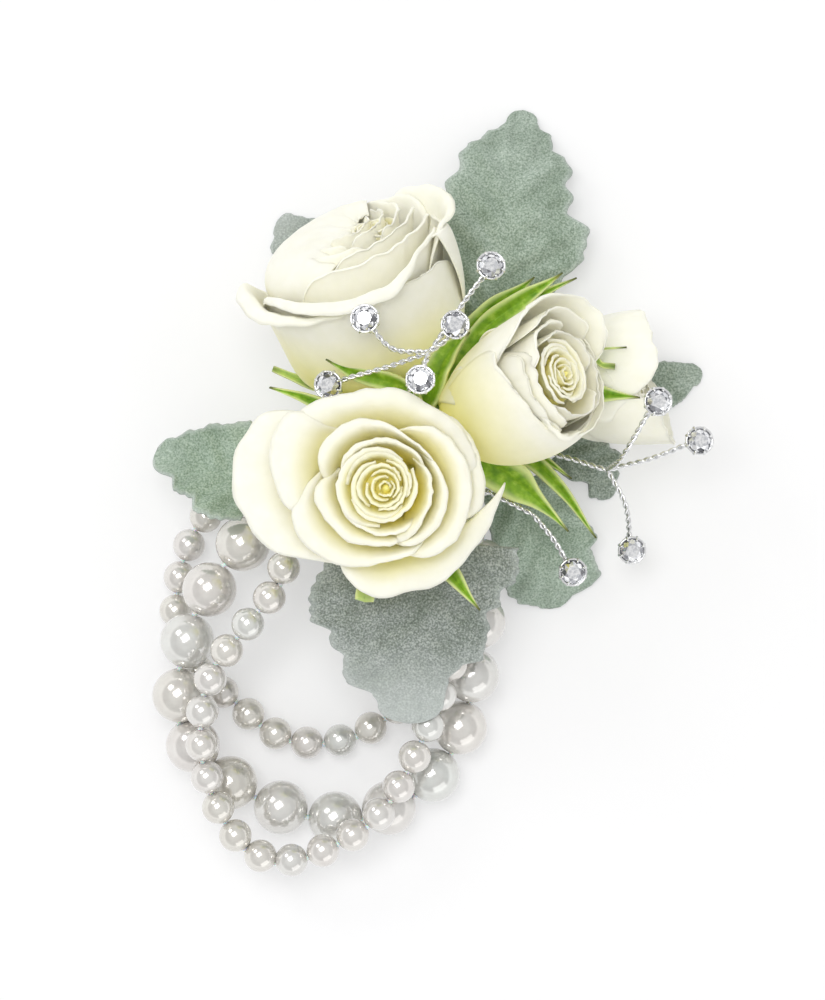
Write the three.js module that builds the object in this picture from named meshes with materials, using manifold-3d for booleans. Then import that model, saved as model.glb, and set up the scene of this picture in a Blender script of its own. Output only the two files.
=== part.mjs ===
// Wrist corsage: four white roses, silvery leaves and rhinestone sprays wired to a small metal wristlet
// plate, whose two ends carry three elastic strands of pearls. Millimetres, +Z up, lying face up on a table.
// The origin is the middle of the plate's wrist face. The plate stands on edge: its wrist face looks to -Y,
// its length runs along X and the three strands are stacked along Z.

import * as THREE from "three";
import { mergeVertices } from "three/addons/utils/BufferGeometryUtils.js";
import Module from "manifold-3d";

const wasm = await Module();
wasm.setup();

// Clearances
const SEAT_GAP = 0.3; // between pieces that rest on each other
const PETAL_GAP = 0.4; // between one petal and the next

// Pearls and elastic
const SMALL_PEARL = 6; // diameter
const LARGE_PEARL = 10; // diameter
const LARGE_PEARLS = 16; // most on the middle strand
const CORD_RADIUS = 0.5;
const SMALL_R = SMALL_PEARL / 2;
const LARGE_R = LARGE_PEARL / 2;
const STRAND_PITCH = SMALL_R + LARGE_R + SEAT_GAP; // from one strand's hole to the next, along Z

// Wristlet plate
const PLATE_LENGTH = 16; // between its end bars
const PLATE_THICKNESS = 1;
const BAR_LENGTH = 3; // along X
const BAR_DEPTH = 3.2; // along Y
const PLATE_WIDTH = 2 * STRAND_PITCH + 2 * SMALL_R - 1; // along Z
const HOLE_RADIUS = CORD_RADIUS + SEAT_GAP;
const HOLE_Y = BAR_DEPTH / 2;
const PRONG_LENGTH = 3;
const TABLE_Z = -STRAND_PITCH - SMALL_R - 1.7; // the table's height

// Taped stem bundle on the plate's flower side
const BUNDLE_RADIUS = 4.5;
const BUNDLE_LENGTH = PLATE_LENGTH - 1;
const BUNDLE_Y = PLATE_THICKNESS + SEAT_GAP + BUNDLE_RADIUS;
const STEM_RADIUS = 1.6;
const STEM_SEAT = 0.6; // from a stem's cut end to the bundle
const STEM_REACH = BUNDLE_RADIUS + STEM_SEAT; // from the bundle's middle line to a stem's cut end
const STEM_END_X = BUNDLE_LENGTH / 2 + STEM_SEAT;

// Roses
const PETAL_THICKNESS = 0.8;
const PETAL_STEP = PETAL_THICKNESS + PETAL_GAP; // from one petal layer to the next
const PETAL_ROOT = 2; // radius where a petal starts
const HIP_RADIUS = 4.2;
const HIP_LENGTH = 4.5;
const NARROW_LIP = 2; // a lip that stands out this far only leans
const WIDE_LIP = 6; // one that stands out this far folds over
const SEPAL_HALF = 16; // half width of a sepal at its root, in degrees round the bloom

// Leaves
const LEAF_THICKNESS = 0.9;
const LEAF_STALK_RADIUS = 0.7;
const LEAF_BEND_GAP = 0.6; // between a leaf that lifts and its fixed stub
const TOP_REACH = 72.8; // tip of the top leaf, along Y
const RIGHT_REACH = 60.2; // tip of the right leaf, along X

// Rhinestone sprays
const WIRE_RADIUS = 0.45;
const GEM_RADIUS = 2.1;
const CUP_WALL = 0.35;

const COLOURS = {
  petal: [0xf3ecdc, 0.55, 0],
  heart: [0xf1e3b8, 0.55, 0],
  green: [0x8f9a4a, 0.6, 0],
  leaf: [0x9aa59b, 0.9, 0],
  tape: [0x6f7d4a, 0.7, 0],
  pearl: [0xf4efe9, 0.2, 0],
  elastic: [0xe9e6e0, 0.5, 0],
  silver: [0xc9c9cc, 0.25, 1],
  gem: [0xeef2f6, 0.05, 0],
};
const materials = {};
for (const [name, [color, roughness, metalness]] of Object.entries(COLOURS)) {
  materials[name] = new THREE.MeshStandardMaterial({ color, roughness, metalness });
}

const corsage = new THREE.Group();

function addPiece(name, geometry, material) {
  const mesh = new THREE.Mesh(geometry, materials[material]);
  mesh.name = name;
  corsage.add(mesh);
}

function vec(x, y, z) {
  return new THREE.Vector3(x, y, z);
}

// Solid helpers

function welded(geometry) {
  const bare = geometry.clone();
  bare.deleteAttribute("normal");
  bare.deleteAttribute("uv");
  return mergeVertices(bare, 1e-4);
}

function volume(geometry) {
  const p = geometry.attributes.position;
  const index = geometry.index;
  const corner = (i) => vec(0, 0, 0).fromBufferAttribute(p, index.getX(i));
  let total = 0;
  for (let i = 0; i < index.count; i += 3) {
    total += corner(i).dot(corner(i + 1).cross(corner(i + 2)));
  }
  return total / 6;
}

function facingOut(geometry) {
  const solid = welded(geometry);
  if (volume(solid) < 0) {
    const turned = Array.from(solid.index.array);
    for (let i = 0; i < turned.length; i += 3) {
      [turned[i], turned[i + 1]] = [turned[i + 1], turned[i]];
    }
    solid.setIndex(turned);
  }
  solid.computeVertexNormals();
  return solid;
}

function toSolid(geometry) {
  const closed = facingOut(geometry);
  const mesh = new wasm.Mesh({
    numProp: 3,
    vertProperties: new Float32Array(closed.attributes.position.array),
    triVerts: new Uint32Array(closed.index.array),
  });
  return new wasm.Manifold(mesh);
}

function toGeometry(solid) {
  const mesh = solid.getMesh();
  const geometry = new THREE.BufferGeometry();
  geometry.setAttribute("position", new THREE.BufferAttribute(mesh.vertProperties, mesh.numProp));
  geometry.setIndex(new THREE.BufferAttribute(mesh.triVerts, 1));
  geometry.computeVertexNormals();
  return geometry;
}

function joined(geometries) {
  return toGeometry(wasm.Manifold.union(geometries.map(toSolid)));
}

function cut(geometry, tools) {
  return toGeometry(toSolid(geometry).subtract(wasm.Manifold.union(tools.map(toSolid))));
}

// A frame at origin with +Z along axis and +X as near to hint as it goes
function frameAlong(origin, axis, hint) {
  const z = axis.clone().normalize();
  const x = hint.clone().addScaledVector(z, -hint.dot(z)).normalize();
  const y = z.clone().cross(x);
  return new THREE.Matrix4().makeBasis(x, y, z).setPosition(origin);
}

// A turned solid about +Z from a profile of [radius, height] points
function turned(profile, sides) {
  const points = profile.map(([r, z]) => new THREE.Vector2(r, z));
  return new THREE.LatheGeometry(points, sides).rotateX(Math.PI / 2);
}

function box(x0, x1, y0, y1, z0, z1) {
  const solid = new THREE.BoxGeometry(x1 - x0, y1 - y0, z1 - z0);
  return solid.translate((x0 + x1) / 2, (y0 + y1) / 2, (z0 + z1) / 2);
}

// A round rod along a smooth curve through the points
function rod(points, radius, sides, steps) {
  const disc = new THREE.Shape();
  for (let i = 0; i < sides; i += 1) {
    const turn = (2 * Math.PI * i) / sides;
    const place = [radius * Math.cos(turn), radius * Math.sin(turn)];
    if (i === 0) disc.moveTo(...place);
    else disc.lineTo(...place);
  }
  disc.closePath();
  const path = new THREE.CatmullRomCurve3(points, false, "centripetal");
  return new THREE.ExtrudeGeometry(disc, { steps, extrudePath: path, curveSegments: 1 });
}

// A thick sheet from its middle surface, point(t, s) with t in 0..1 and s in -1..1
function sheet(point, rows, columns, thickness) {
  const across = columns + 1;
  const count = (rows + 1) * across;
  const positions = [];
  for (const side of [-0.5, 0.5]) {
    for (let i = 0; i <= rows; i += 1) {
      for (let j = 0; j <= columns; j += 1) {
        const t = i / rows;
        const s = (2 * j) / columns - 1;
        const alongT = point(Math.min(t + 1e-3, 1), s).sub(point(Math.max(t - 1e-3, 0), s));
        const alongS = point(t, s + 1e-3).sub(point(t, s - 1e-3));
        const normal = alongT.cross(alongS).normalize();
        positions.push(...point(t, s).addScaledVector(normal, side * thickness).toArray());
      }
    }
  }
  const faces = [];
  const quad = (a, b, c, d) => faces.push(a, b, c, a, c, d);
  for (let i = 0; i < rows; i += 1) {
    for (let j = 0; j < columns; j += 1) {
      const a = i * across + j;
      quad(a, a + 1, a + 1 + across, a + across);
      quad(count + a, count + a + across, count + a + 1 + across, count + a + 1);
    }
  }
  const edge = [];
  for (let j = 0; j < columns; j += 1) edge.push(j);
  for (let i = 0; i < rows; i += 1) edge.push(i * across + columns);
  for (let j = columns; j > 0; j -= 1) edge.push(rows * across + j);
  for (let i = rows; i > 0; i -= 1) edge.push(i * across);
  edge.forEach((a, k) => {
    const b = edge[(k + 1) % edge.length];
    quad(b, a, count + a, count + b);
  });
  const geometry = new THREE.BufferGeometry();
  geometry.setAttribute("position", new THREE.Float32BufferAttribute(positions, 3));
  geometry.setIndex(faces);
  return facingOut(geometry);
}

// Wristlet plate: a thin plate with a bored bar across each end and four prongs around the stem bundle
function wristletPlate() {
  const half = PLATE_LENGTH / 2;
  const edge = PLATE_WIDTH / 2;
  const reach = BUNDLE_RADIUS + SEAT_GAP;
  const solids = [box(-half - 1, half + 1, 0, PLATE_THICKNESS, -edge, edge)];
  for (const end of [-1, 1]) {
    const inner = end * half;
    const outer = end * (half + BAR_LENGTH);
    solids.push(box(Math.min(inner, outer), Math.max(inner, outer), 0, BAR_DEPTH, -edge, edge));
    for (const side of [-1, 1]) {
      const near = side * reach;
      const far = side * (reach + PLATE_THICKNESS);
      const x = end * (half - PRONG_LENGTH);
      const top = BUNDLE_Y + BUNDLE_RADIUS / 2;
      solids.push(
        box(x - PRONG_LENGTH / 2, x + PRONG_LENGTH / 2, 0.2, top, Math.min(near, far), Math.max(near, far))
      );
    }
  }
  const bores = [-1, 0, 1].map((k) =>
    new THREE.CylinderGeometry(HOLE_RADIUS, HOLE_RADIUS, 2 * (PLATE_LENGTH + BAR_LENGTH), 10)
      .rotateZ(Math.PI / 2)
      .translate(0, HOLE_Y, k * STRAND_PITCH)
  );
  return cut(joined(solids), bores);
}
addPiece("wristlet_plate", wristletPlate(), "silver");

// Pearl strands. Each leaves one end bar, loops round the wrist space and comes back to the other bar.
const BAR_FACE = PLATE_LENGTH / 2 + BAR_LENGTH;
const STRAND_START = BAR_FACE + 3 * SEAT_GAP; // where the first pearl begins
const BACK_Z = -STRAND_PITCH;
const FRONT_Z = STRAND_PITCH;
const BACK_LIE = TABLE_Z + SMALL_R; // small pearls lying on the table
const MIDDLE_LIE = TABLE_Z + LARGE_R; // large pearls lying on the table
const MIDDLE_OVER = BACK_LIE + STRAND_PITCH; // large pearls crossing over small ones
const FRONT_OVER = MIDDLE_LIE + STRAND_PITCH; // small pearls lying on large ones

const BACK_ROUTE = [
  vec(-STRAND_START, HOLE_Y, BACK_Z),
  vec(-18, 3.2, BACK_Z),
  vec(-25, 3.2, BACK_Z),
  vec(-32.7, -3.7, BACK_LIE + 0.8),
  vec(-36.5, -14.8, BACK_LIE),
  vec(-36.1, -27, BACK_LIE),
  vec(-26.7, -35.6, BACK_LIE),
  vec(-17.1, -43.2, BACK_LIE),
  vec(-5.3, -43.4, BACK_LIE),
  vec(5.1, -36.7, BACK_LIE),
  vec(11.9, -27.7, BACK_LIE),
  vec(15.6, -16.6, BACK_LIE + 0.6),
  vec(18, -7, BACK_Z),
  vec(17.2, -0.6, BACK_Z),
  vec(STRAND_START, HOLE_Y, BACK_Z),
];
const MIDDLE_ROUTE = [
  vec(-STRAND_START, HOLE_Y, 0),
  vec(-17, 0.4, 0),
  vec(-23.6, -6.9, 0),
  vec(-30.2, -14.4, MIDDLE_OVER + 1),
  vec(-34.4, -24.3, MIDDLE_OVER),
  vec(-36.2, -34.4, MIDDLE_OVER - 1.5),
  vec(-34.6, -44.4, MIDDLE_OVER - 4),
  vec(-27, -51.4, MIDDLE_LIE),
  vec(-18.3, -55.4, MIDDLE_LIE),
  vec(-9.1, -58.2, MIDDLE_LIE),
  vec(1.6, -56.9, MIDDLE_LIE),
  vec(9.9, -51.2, MIDDLE_LIE),
  vec(15.6, -42.5, MIDDLE_LIE),
  vec(17.7, -33.4, MIDDLE_LIE + 2),
  vec(18.6, -22.5, -2),
  vec(20, -12.5, -0.5),
  vec(19.6, -6, 0),
];
// Bare elastic from the last large pearl to the bar
const MIDDLE_TAIL = [vec(18.2, -1.6, 0), vec(15.6, 1, 0), vec(STRAND_START, HOLE_Y, 0)];
const FRONT_ROUTE = [
  vec(-STRAND_START, HOLE_Y, FRONT_Z),
  vec(-15.4, 0, FRONT_Z),
  vec(-15.8, -6, FRONT_Z - 0.3),
  vec(-16.2, -12.6, FRONT_Z - 0.8),
  vec(-23.1, -21.7, FRONT_Z - 1.8),
  vec(-30.1, -31.4, MIDDLE_OVER + STRAND_PITCH - 2),
  vec(-31.6, -43.2, FRONT_OVER + 3),
  vec(-29, -54.5, FRONT_OVER),
  vec(-22.5, -63.8, FRONT_OVER - 2),
  vec(-16.3, -65.5, FRONT_OVER - 2.2),
  vec(-10.8, -63.6, FRONT_OVER - 1),
  vec(-0.5, -57.8, FRONT_OVER),
  vec(6.2, -48.1, FRONT_OVER),
  vec(10.4, -38.2, FRONT_OVER + 0.8),
  vec(14, -28.5, FRONT_OVER + 3.6),
  vec(16.4, -17.2, FRONT_Z - 1.3),
  vec(17.2, -7, FRONT_Z),
  vec(16, -0.4, FRONT_Z),
  vec(STRAND_START, HOLE_Y, FRONT_Z),
];

// Places along a route, at least one pitch apart, where one bead ends and the next begins
function beadEnds(route, pitch, most = Infinity) {
  const path = new THREE.CatmullRomCurve3(route, false, "centripetal");
  path.arcLengthDivisions = 2000;
  const beads = Math.min(Math.floor(path.getLength() / pitch), most);
  return path.getSpacedPoints(beads);
}

function ring(centre, axis, radius, sides) {
  const across = vec(0, 0, 1).cross(axis).normalize();
  const up = axis.clone().cross(across).normalize();
  const points = [];
  for (let i = 0; i < sides; i += 1) {
    const turn = (2 * Math.PI * i) / sides;
    const point = centre.clone().addScaledVector(across, radius * Math.cos(turn));
    points.push(point.addScaledVector(up, radius * Math.sin(turn)));
  }
  return points;
}

// A closed skin through rings of points, with a flat cap at each end
function lofted(rings) {
  const sides = rings[0].length;
  const positions = rings.flat().flatMap((p) => p.toArray());
  const faces = [];
  for (let k = 0; k + 1 < rings.length; k += 1) {
    for (let i = 0; i < sides; i += 1) {
      const a = k * sides + i;
      const b = k * sides + ((i + 1) % sides);
      faces.push(a, b, b + sides, a, b + sides, a + sides);
    }
  }
  const last = (rings.length - 1) * sides;
  for (let i = 1; i + 1 < sides; i += 1) {
    faces.push(0, i + 1, i);
    faces.push(last, last + i, last + i + 1);
  }
  const geometry = new THREE.BufferGeometry();
  geometry.setAttribute("position", new THREE.Float32BufferAttribute(positions, 3));
  geometry.setIndex(faces);
  return facingOut(geometry);
}

// Cord rings at the bead ends, carried on into the two end bars
function cordRings(ends, sides) {
  const rings = [];
  const inBar = BAR_FACE - BAR_LENGTH / 2;
  const run = [ends[0].clone().setX(-inBar), ...ends, ends.at(-1).clone().setX(inBar)];
  run.forEach((point, i) => {
    const before = run[Math.max(i - 1, 0)];
    const after = run[Math.min(i + 1, run.length - 1)];
    rings.push(ring(point, after.clone().sub(before).normalize(), CORD_RADIUS, sides));
  });
  return rings;
}

// Small pearls and their elastic in one piece
function pearlString(ends) {
  const sides = 7;
  const cord = cordRings(ends, sides);
  const rings = [cord[0], cord[1]];
  for (let i = 0; i + 1 < ends.length; i += 1) {
    const axis = ends[i + 1].clone().sub(ends[i]).normalize();
    const centre = ends[i].clone().lerp(ends[i + 1], 0.5);
    for (const latitude of [-68, -25, 25, 68]) {
      const turn = THREE.MathUtils.degToRad(latitude);
      const place = centre.clone().addScaledVector(axis, SMALL_R * Math.sin(turn));
      rings.push(ring(place, axis, SMALL_R * Math.cos(turn), sides));
    }
    rings.push(cord[i + 2]);
  }
  rings.push(cord.at(-1));
  return lofted(rings);
}

// A large pearl with a bore, its axis along +Z
function largePearl() {
  const bore = CORD_RADIUS + SEAT_GAP;
  const first = Math.asin(bore / LARGE_R);
  const profile = [];
  const steps = 7;
  for (let i = 0; i <= steps; i += 1) {
    const turn = first + ((Math.PI - 2 * first) * i) / steps;
    profile.push([LARGE_R * Math.sin(turn), -LARGE_R * Math.cos(turn)]);
  }
  profile.push(profile[0]);
  return turned(profile, 10);
}

function pearlStrands() {
  const pitch = LARGE_PEARL + SEAT_GAP;
  const ends = beadEnds(MIDDLE_ROUTE, pitch, LARGE_PEARLS);
  addPiece("cord_middle", lofted(cordRings([...ends, ...MIDDLE_TAIL], 6)), "elastic");
  for (let i = 0; i + 1 < ends.length; i += 1) {
    const axis = ends[i + 1].clone().sub(ends[i]);
    const centre = ends[i].clone().lerp(ends[i + 1], 0.5);
    const bead = facingOut(largePearl().applyMatrix4(frameAlong(centre, axis, vec(0, 0, 1))));
    addPiece(`pearl_large_${String(i + 1).padStart(2, "0")}`, bead, "pearl");
  }
  addPiece("pearl_string_back", pearlString(beadEnds(BACK_ROUTE, SMALL_PEARL)), "pearl");
  addPiece("pearl_string_front", pearlString(beadEnds(FRONT_ROUTE, SMALL_PEARL)), "pearl");
}
pearlStrands();

// Roses, each in its own frame with +Z along the bloom and its innermost petal starting at the origin.
// place: middle of the hip's top face; axis: way the bloom looks; hint: way its zero angle points; bowl: how
// round the petals are at their base. Petals from the innermost out: turn: first and last angle in degrees;
// belly: radius of the upright part; rim and top: radius of the lip and height of its fold at the petal's
// first end, middle and last end; droop: fall of the lip for its width. Sepals: [angle, reach].
const ROSES = {
  front: {
    place: vec(2, 3.6, 16.5),
    axis: vec(0.0174, -0.032, 1),
    hint: vec(1, 0, 0),
    bowl: 0,
    heart: { belly: 8, rim: 8.6, top: 13 },
    petals: [
      { turn: [-88, 86], belly: 9.8, rim: [14.4, 15, 12], top: 12, droop: 0.35 },
      { turn: [126, 206], belly: 11.4, rim: [20, 21, 17], top: 11, droop: 0.35 },
      { turn: [-12, 160], belly: 12.6, rim: [17, 17, 21], top: [9.5, 9.5, 8.4], droop: 0.3 },
      { turn: [-140, 9], belly: 13.8, rim: [15.6, 19, 22], top: 8, droop: 0.3 },
      { turn: [122, 240], belly: 15, rim: [19, 26.5, 20], top: 6, droop: 0.25 },
    ],
    sepals: [[338, 0.5], [226, 0.4], [112, 0.35], [180, 0.55]],
    stem: [vec(2, 4.6, 9), vec(2, BUNDLE_Y, STEM_REACH)],
  },
  left: {
    place: vec(1.8, 20.1, 0),
    axis: vec(-0.23, 0.9, 0.37),
    hint: vec(1, 0, 0),
    bowl: 0.2,
    heart: { belly: 13, rim: 9, top: 28.5 },
    petals: [
      { turn: [185, 380], belly: 14.4, rim: [15.6, 16.4, 17.4], top: [24, 24.5, 29], droop: 0.5 },
      { turn: [10, 190], belly: 15.6, rim: [20.4, 17.2, 17.6], top: [28.5, 28.5, 21], droop: 0.25 },
      { turn: [140, 340], belly: 16.8, rim: [19, 19.6, 16.6], top: [21, 21, 24], droop: 0.55 },
      { turn: [272, 412], belly: 20, rim: 19.8, top: [19, 23, 23], droop: 0 },
    ],
    sepals: [[262, 0.4], [205, 0.6], [60, 0.45], [130, 0.5]],
    stem: [vec(0, 14, 0.2), vec(-1, BUNDLE_Y + STEM_REACH, 0)],
  },
  right: {
    place: vec(11.8, 15.4, 9.4),
    axis: vec(0.743, 0.291, 0.6025),
    hint: vec(0, 1, 0),
    bowl: 1,
    heart: { belly: 10.4, rim: 8.6, top: 26 },
    petals: [
      { turn: [190, 372], belly: 11.6, rim: [10.6, 11.2, 11.6], top: [22.5, 24.5, 26], droop: 0.5 },
      { turn: [-100, 100], belly: 13.1, rim: [12.4, 14.4, 11.6], top: [25, 28.6, 23], droop: 0.5 },
      { turn: [70, 256], belly: 14.6, rim: [14, 13.6, 13.4], top: [20.4, 23.2, 22], droop: 0.6 },
    ],
    sepals: [[332, 0.5], [308, 0.4], [190, 0.7], [225, 0.75]],
    stem: [vec(6.2, 12.7, 4.6), vec(5.4, BUNDLE_Y + STEM_REACH * 0.85, STEM_REACH * 0.55)],
  },
  rear: {
    place: vec(29.3, 20.7, -1.5),
    axis: vec(0.97, 0.13, 0.16),
    hint: vec(0, 1, 0),
    bowl: 0.4,
    heart: { belly: 11.2, rim: 11, top: 21 },
    petals: [{ turn: [-70, 128], belly: 12.4, rim: [12.2, 12, 12], top: [17, 20.4, 20], droop: 0.3 }],
    sepals: [[40, 0.55], [140, 0.55], [240, 0.55], [310, 0.55]],
    stem: [vec(19, 12, -3), vec(STEM_END_X, BUNDLE_Y + 2.2, -1.8)],
  },
};

// Petal outline: share of the full half width at t along the petal
function petalWidth(t) {
  if (t < 0.6) return THREE.MathUtils.lerp(0.5, 1, THREE.MathUtils.smoothstep(t, 0, 0.6));
  return Math.sqrt(1 - ((t - 0.6) / 0.5) ** 4);
}

// Sepal outline: a narrow blade drawn out to a point
function sepalWidth(t) {
  return 1 - 0.9 * t * t;
}

// Value at s = -1..1 of a plain number, or of a curve through its values at -1, 0 and 1
function across(values, s) {
  if (typeof values === "number") return values;
  const [first, middle, last] = values;
  return first * 0.5 * s * (s - 1) + middle * (1 - s * s) + last * 0.5 * s * (s + 1);
}

// Point of a curve with the given control values
function bezier(values, t) {
  if (values.length === 1) return values[0];
  return bezier(
    values.slice(1).map((value, i) => THREE.MathUtils.lerp(values[i], value, t)),
    t
  );
}

// Radius and height of a heart, petal or sepal that starts at the height foot: t along it, s across it.
// A wide lip folds over and droops; a narrow one only leans.
function meridian(rose, form, foot, t, s) {
  const { belly, droop = 0 } = form;
  const rim = across(form.rim, s);
  const top = across(form.top, s);
  const rise = top - foot;
  const wide = rim - belly;
  const fold = THREE.MathUtils.smoothstep(wide, NARROW_LIP, WIDE_LIP);
  const radii = [
    PETAL_ROOT,
    belly * (0.95 - 0.25 * rose.bowl),
    belly * (1 + 0.15 * rose.bowl),
    belly + 0.45 * wide,
    rim,
  ];
  const heights = [
    foot,
    foot + 0.05 * rise,
    foot + (0.6 - 0.15 * rose.bowl) * rise,
    top + rise * THREE.MathUtils.lerp(-0.12, 0.08, fold),
    top - droop * wide * fold,
  ];
  return { radius: bezier(radii, t), height: bezier(heights, t) };
}

function roundBloom(angle, { radius, height }) {
  const turn = THREE.MathUtils.degToRad(angle);
  return vec(radius * Math.cos(turn), radius * Math.sin(turn), height);
}

function petalPoint(rose, k, t, s) {
  const petal = rose.petals[k];
  const [first, last] = petal.turn;
  const shift = s * petalWidth(t);
  const angle = (first + last) / 2 + (shift * (last - first)) / 2;
  return roundBloom(angle, meridian(rose, petal, -PETAL_STEP * k, t, shift));
}

// Folded middle of the bloom, one layer inside the innermost petal
function roseHeart(rose) {
  const profile = [[0, PETAL_STEP]];
  for (const t of [0, 0.2, 0.45, 0.7, 0.9, 1]) {
    const { radius, height } = meridian(rose, rose.heart, PETAL_STEP, t, 0);
    profile.push([radius - PETAL_GAP, height]);
  }
  const [mouth, top] = profile.at(-1);
  const fold = 0.12 * rose.heart.top;
  profile.push([0.82 * mouth, top], [0.7 * mouth, top - fold], [0.58 * mouth, top + 0.4]);
  profile.push([0.38 * mouth, top - 0.8 * fold], [0.22 * mouth, top + 0.2], [0, top - 0.5 * fold]);
  return turned(profile, 12);
}

// Hip, the core that the petals stand round, sepals and stem in one piece
function roseCalyx(rose, frame, hipTop) {
  const layer = rose.petals.length;
  const outer = rose.petals.at(-1);
  const form = { ...outer, belly: outer.belly + 1.6 * PETAL_STEP, rim: across(outer.rim, 0) + 2 * PETAL_STEP };
  const core = PETAL_ROOT - SEAT_GAP;
  const hip = turned(
    [
      [0, hipTop - HIP_LENGTH],
      [STEM_RADIUS * 1.3, hipTop - HIP_LENGTH],
      [HIP_RADIUS, hipTop - HIP_LENGTH * 0.5],
      [HIP_RADIUS * 0.95, hipTop - 0.6],
      [PETAL_ROOT + 1.4, hipTop],
      [core, hipTop],
      [core, PETAL_STEP - SEAT_GAP],
      [0, PETAL_STEP - SEAT_GAP],
    ],
    12
  );
  const solids = [hip.applyMatrix4(frame)];
  for (const [angle, reach] of rose.sepals) {
    const shift = vec(0, 0, hipTop - PETAL_THICKNESS / 2 + PETAL_STEP * layer - 0.05);
    const blade = sheet(
      (t, s) => {
        const turn = angle + s * SEPAL_HALF * sepalWidth(t * reach);
        return roundBloom(turn, meridian(rose, form, -PETAL_STEP * layer, t * reach, 0)).add(shift);
      },
      4,
      2,
      PETAL_THICKNESS
    );
    solids.push(blade.applyMatrix4(frame));
  }
  const foot = vec(0, 0, hipTop - HIP_LENGTH + 0.5).applyMatrix4(frame);
  solids.push(rod([foot, ...rose.stem], STEM_RADIUS, 7, 5));
  return joined(solids);
}

function addRose(name, rose) {
  const layers = rose.petals.length;
  const hipTop = -PETAL_STEP * (layers - 1) - PETAL_THICKNESS / 2 - SEAT_GAP;
  const axis = rose.axis.clone().normalize();
  const origin = rose.place.clone().addScaledVector(axis, -hipTop);
  const frame = frameAlong(origin, axis, rose.hint);
  addPiece(`rose_${name}_calyx`, roseCalyx(rose, frame, hipTop), "green");
  addPiece(`rose_${name}_heart`, facingOut(roseHeart(rose).applyMatrix4(frame)), "heart");
  rose.petals.forEach((petal, k) => {
    const blade = sheet((t, s) => petalPoint(rose, k, t, s), 8, 7, PETAL_THICKNESS);
    addPiece(`rose_${name}_petal_${k + 1}`, facingOut(blade.applyMatrix4(frame)), "petal");
  });
}
for (const [name, rose] of Object.entries(ROSES)) addRose(name, rose);

// Lobed leaves. base and tip: ends of the midrib; face: way the leaf looks; arch: rise of the midrib's
// middle; stalk: way back to the stem bundle, or to the bend where the leaf lifts on a fixed stub.
const LEAVES = {
  top: {
    base: vec(21.4, 32.1, -6),
    tip: vec(27.4, TOP_REACH, TABLE_Z + 0.6),
    face: vec(0, 0.1, 1),
    width: 30,
    lobes: 4,
    arch: 4,
    stalk: [vec(16, 20, -5), vec(6, BUNDLE_Y + STEM_REACH * 0.85, -STEM_REACH * 0.6)],
  },
  left: {
    base: vec(-21.5, 3.4, 3),
    tip: vec(-40, 9.1, -1),
    face: vec(0, 0.2, 1),
    width: 15,
    lobes: 3,
    arch: 1.5,
    stalk: [vec(-16, 6.5, 3), vec(-STEM_END_X, BUNDLE_Y + 0.5, 2)],
  },
  low: {
    base: vec(9, -6.5, 13.4),
    tip: vec(6, -39.3, FRONT_OVER + SMALL_R + 1.2),
    face: vec(0, -0.2, 1),
    width: 37,
    lobes: 3,
    arch: 2,
    stalk: [vec(9.5, -1 - LEAF_BEND_GAP, 13.4)],
    stub: [vec(9.6, -1, 13.4), vec(9.4, 5, 12), vec(9.4, 7.6, 6), vec(6.4, BUNDLE_Y + 0.8, 2.4)],
  },
  low_right: {
    base: vec(25, 3.5, -4.5),
    tip: vec(34, -18.6, TABLE_Z + 0.6),
    face: vec(0, 0, 1),
    width: 17,
    lobes: 3,
    arch: 1.5,
    stalk: [vec(18, 5, -3.8), vec(STEM_END_X, BUNDLE_Y - 0.8, -2.4)],
  },
  under: {
    base: vec(34, 10.1, -10),
    tip: vec(43.7, 1.8, TABLE_Z + 0.6),
    face: vec(0, 0, 1),
    width: 9,
    lobes: 2,
    arch: 0.5,
    stalk: [vec(22, 11, -9.5), vec(10, 6, -9), vec(4.4, 4.4, -8.4), vec(1.8, BUNDLE_Y - 1, -STEM_REACH)],
  },
  right: {
    base: vec(48.7, 22.1, TABLE_Z + 1.2),
    tip: vec(RIGHT_REACH, 24.5, TABLE_Z + 0.6),
    face: vec(0, 0, 1),
    width: 8,
    lobes: 2,
    arch: 0.3,
    stalk: [
      vec(30, 19, TABLE_Z + 1.2),
      vec(14, 13, -10),
      vec(5, 9.6, -8),
      vec(0.2, BUNDLE_Y + 1.2, -STEM_REACH),
    ],
  },
  upper_left: {
    base: vec(-8.3, 43.2, TABLE_Z + 1.2),
    tip: vec(-17, 53.5, TABLE_Z + 0.6),
    face: vec(0, 0, 1),
    width: 8,
    lobes: 2,
    arch: 0.3,
    stalk: [vec(-3, 28, TABLE_Z + 1.2), vec(-2, 16, -9), vec(-1.8, BUNDLE_Y, -STEM_REACH)],
  },
};

// Half width of a lobed leaf at t along its midrib
function leafHalfWidth(leaf, t) {
  const body = Math.sin(Math.PI * (0.06 + 0.9 * t)) ** 0.8;
  const lobe = 1 - 0.16 * (1 + Math.cos(2 * Math.PI * leaf.lobes * t));
  return 0.5 * leaf.width * body * lobe;
}

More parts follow.
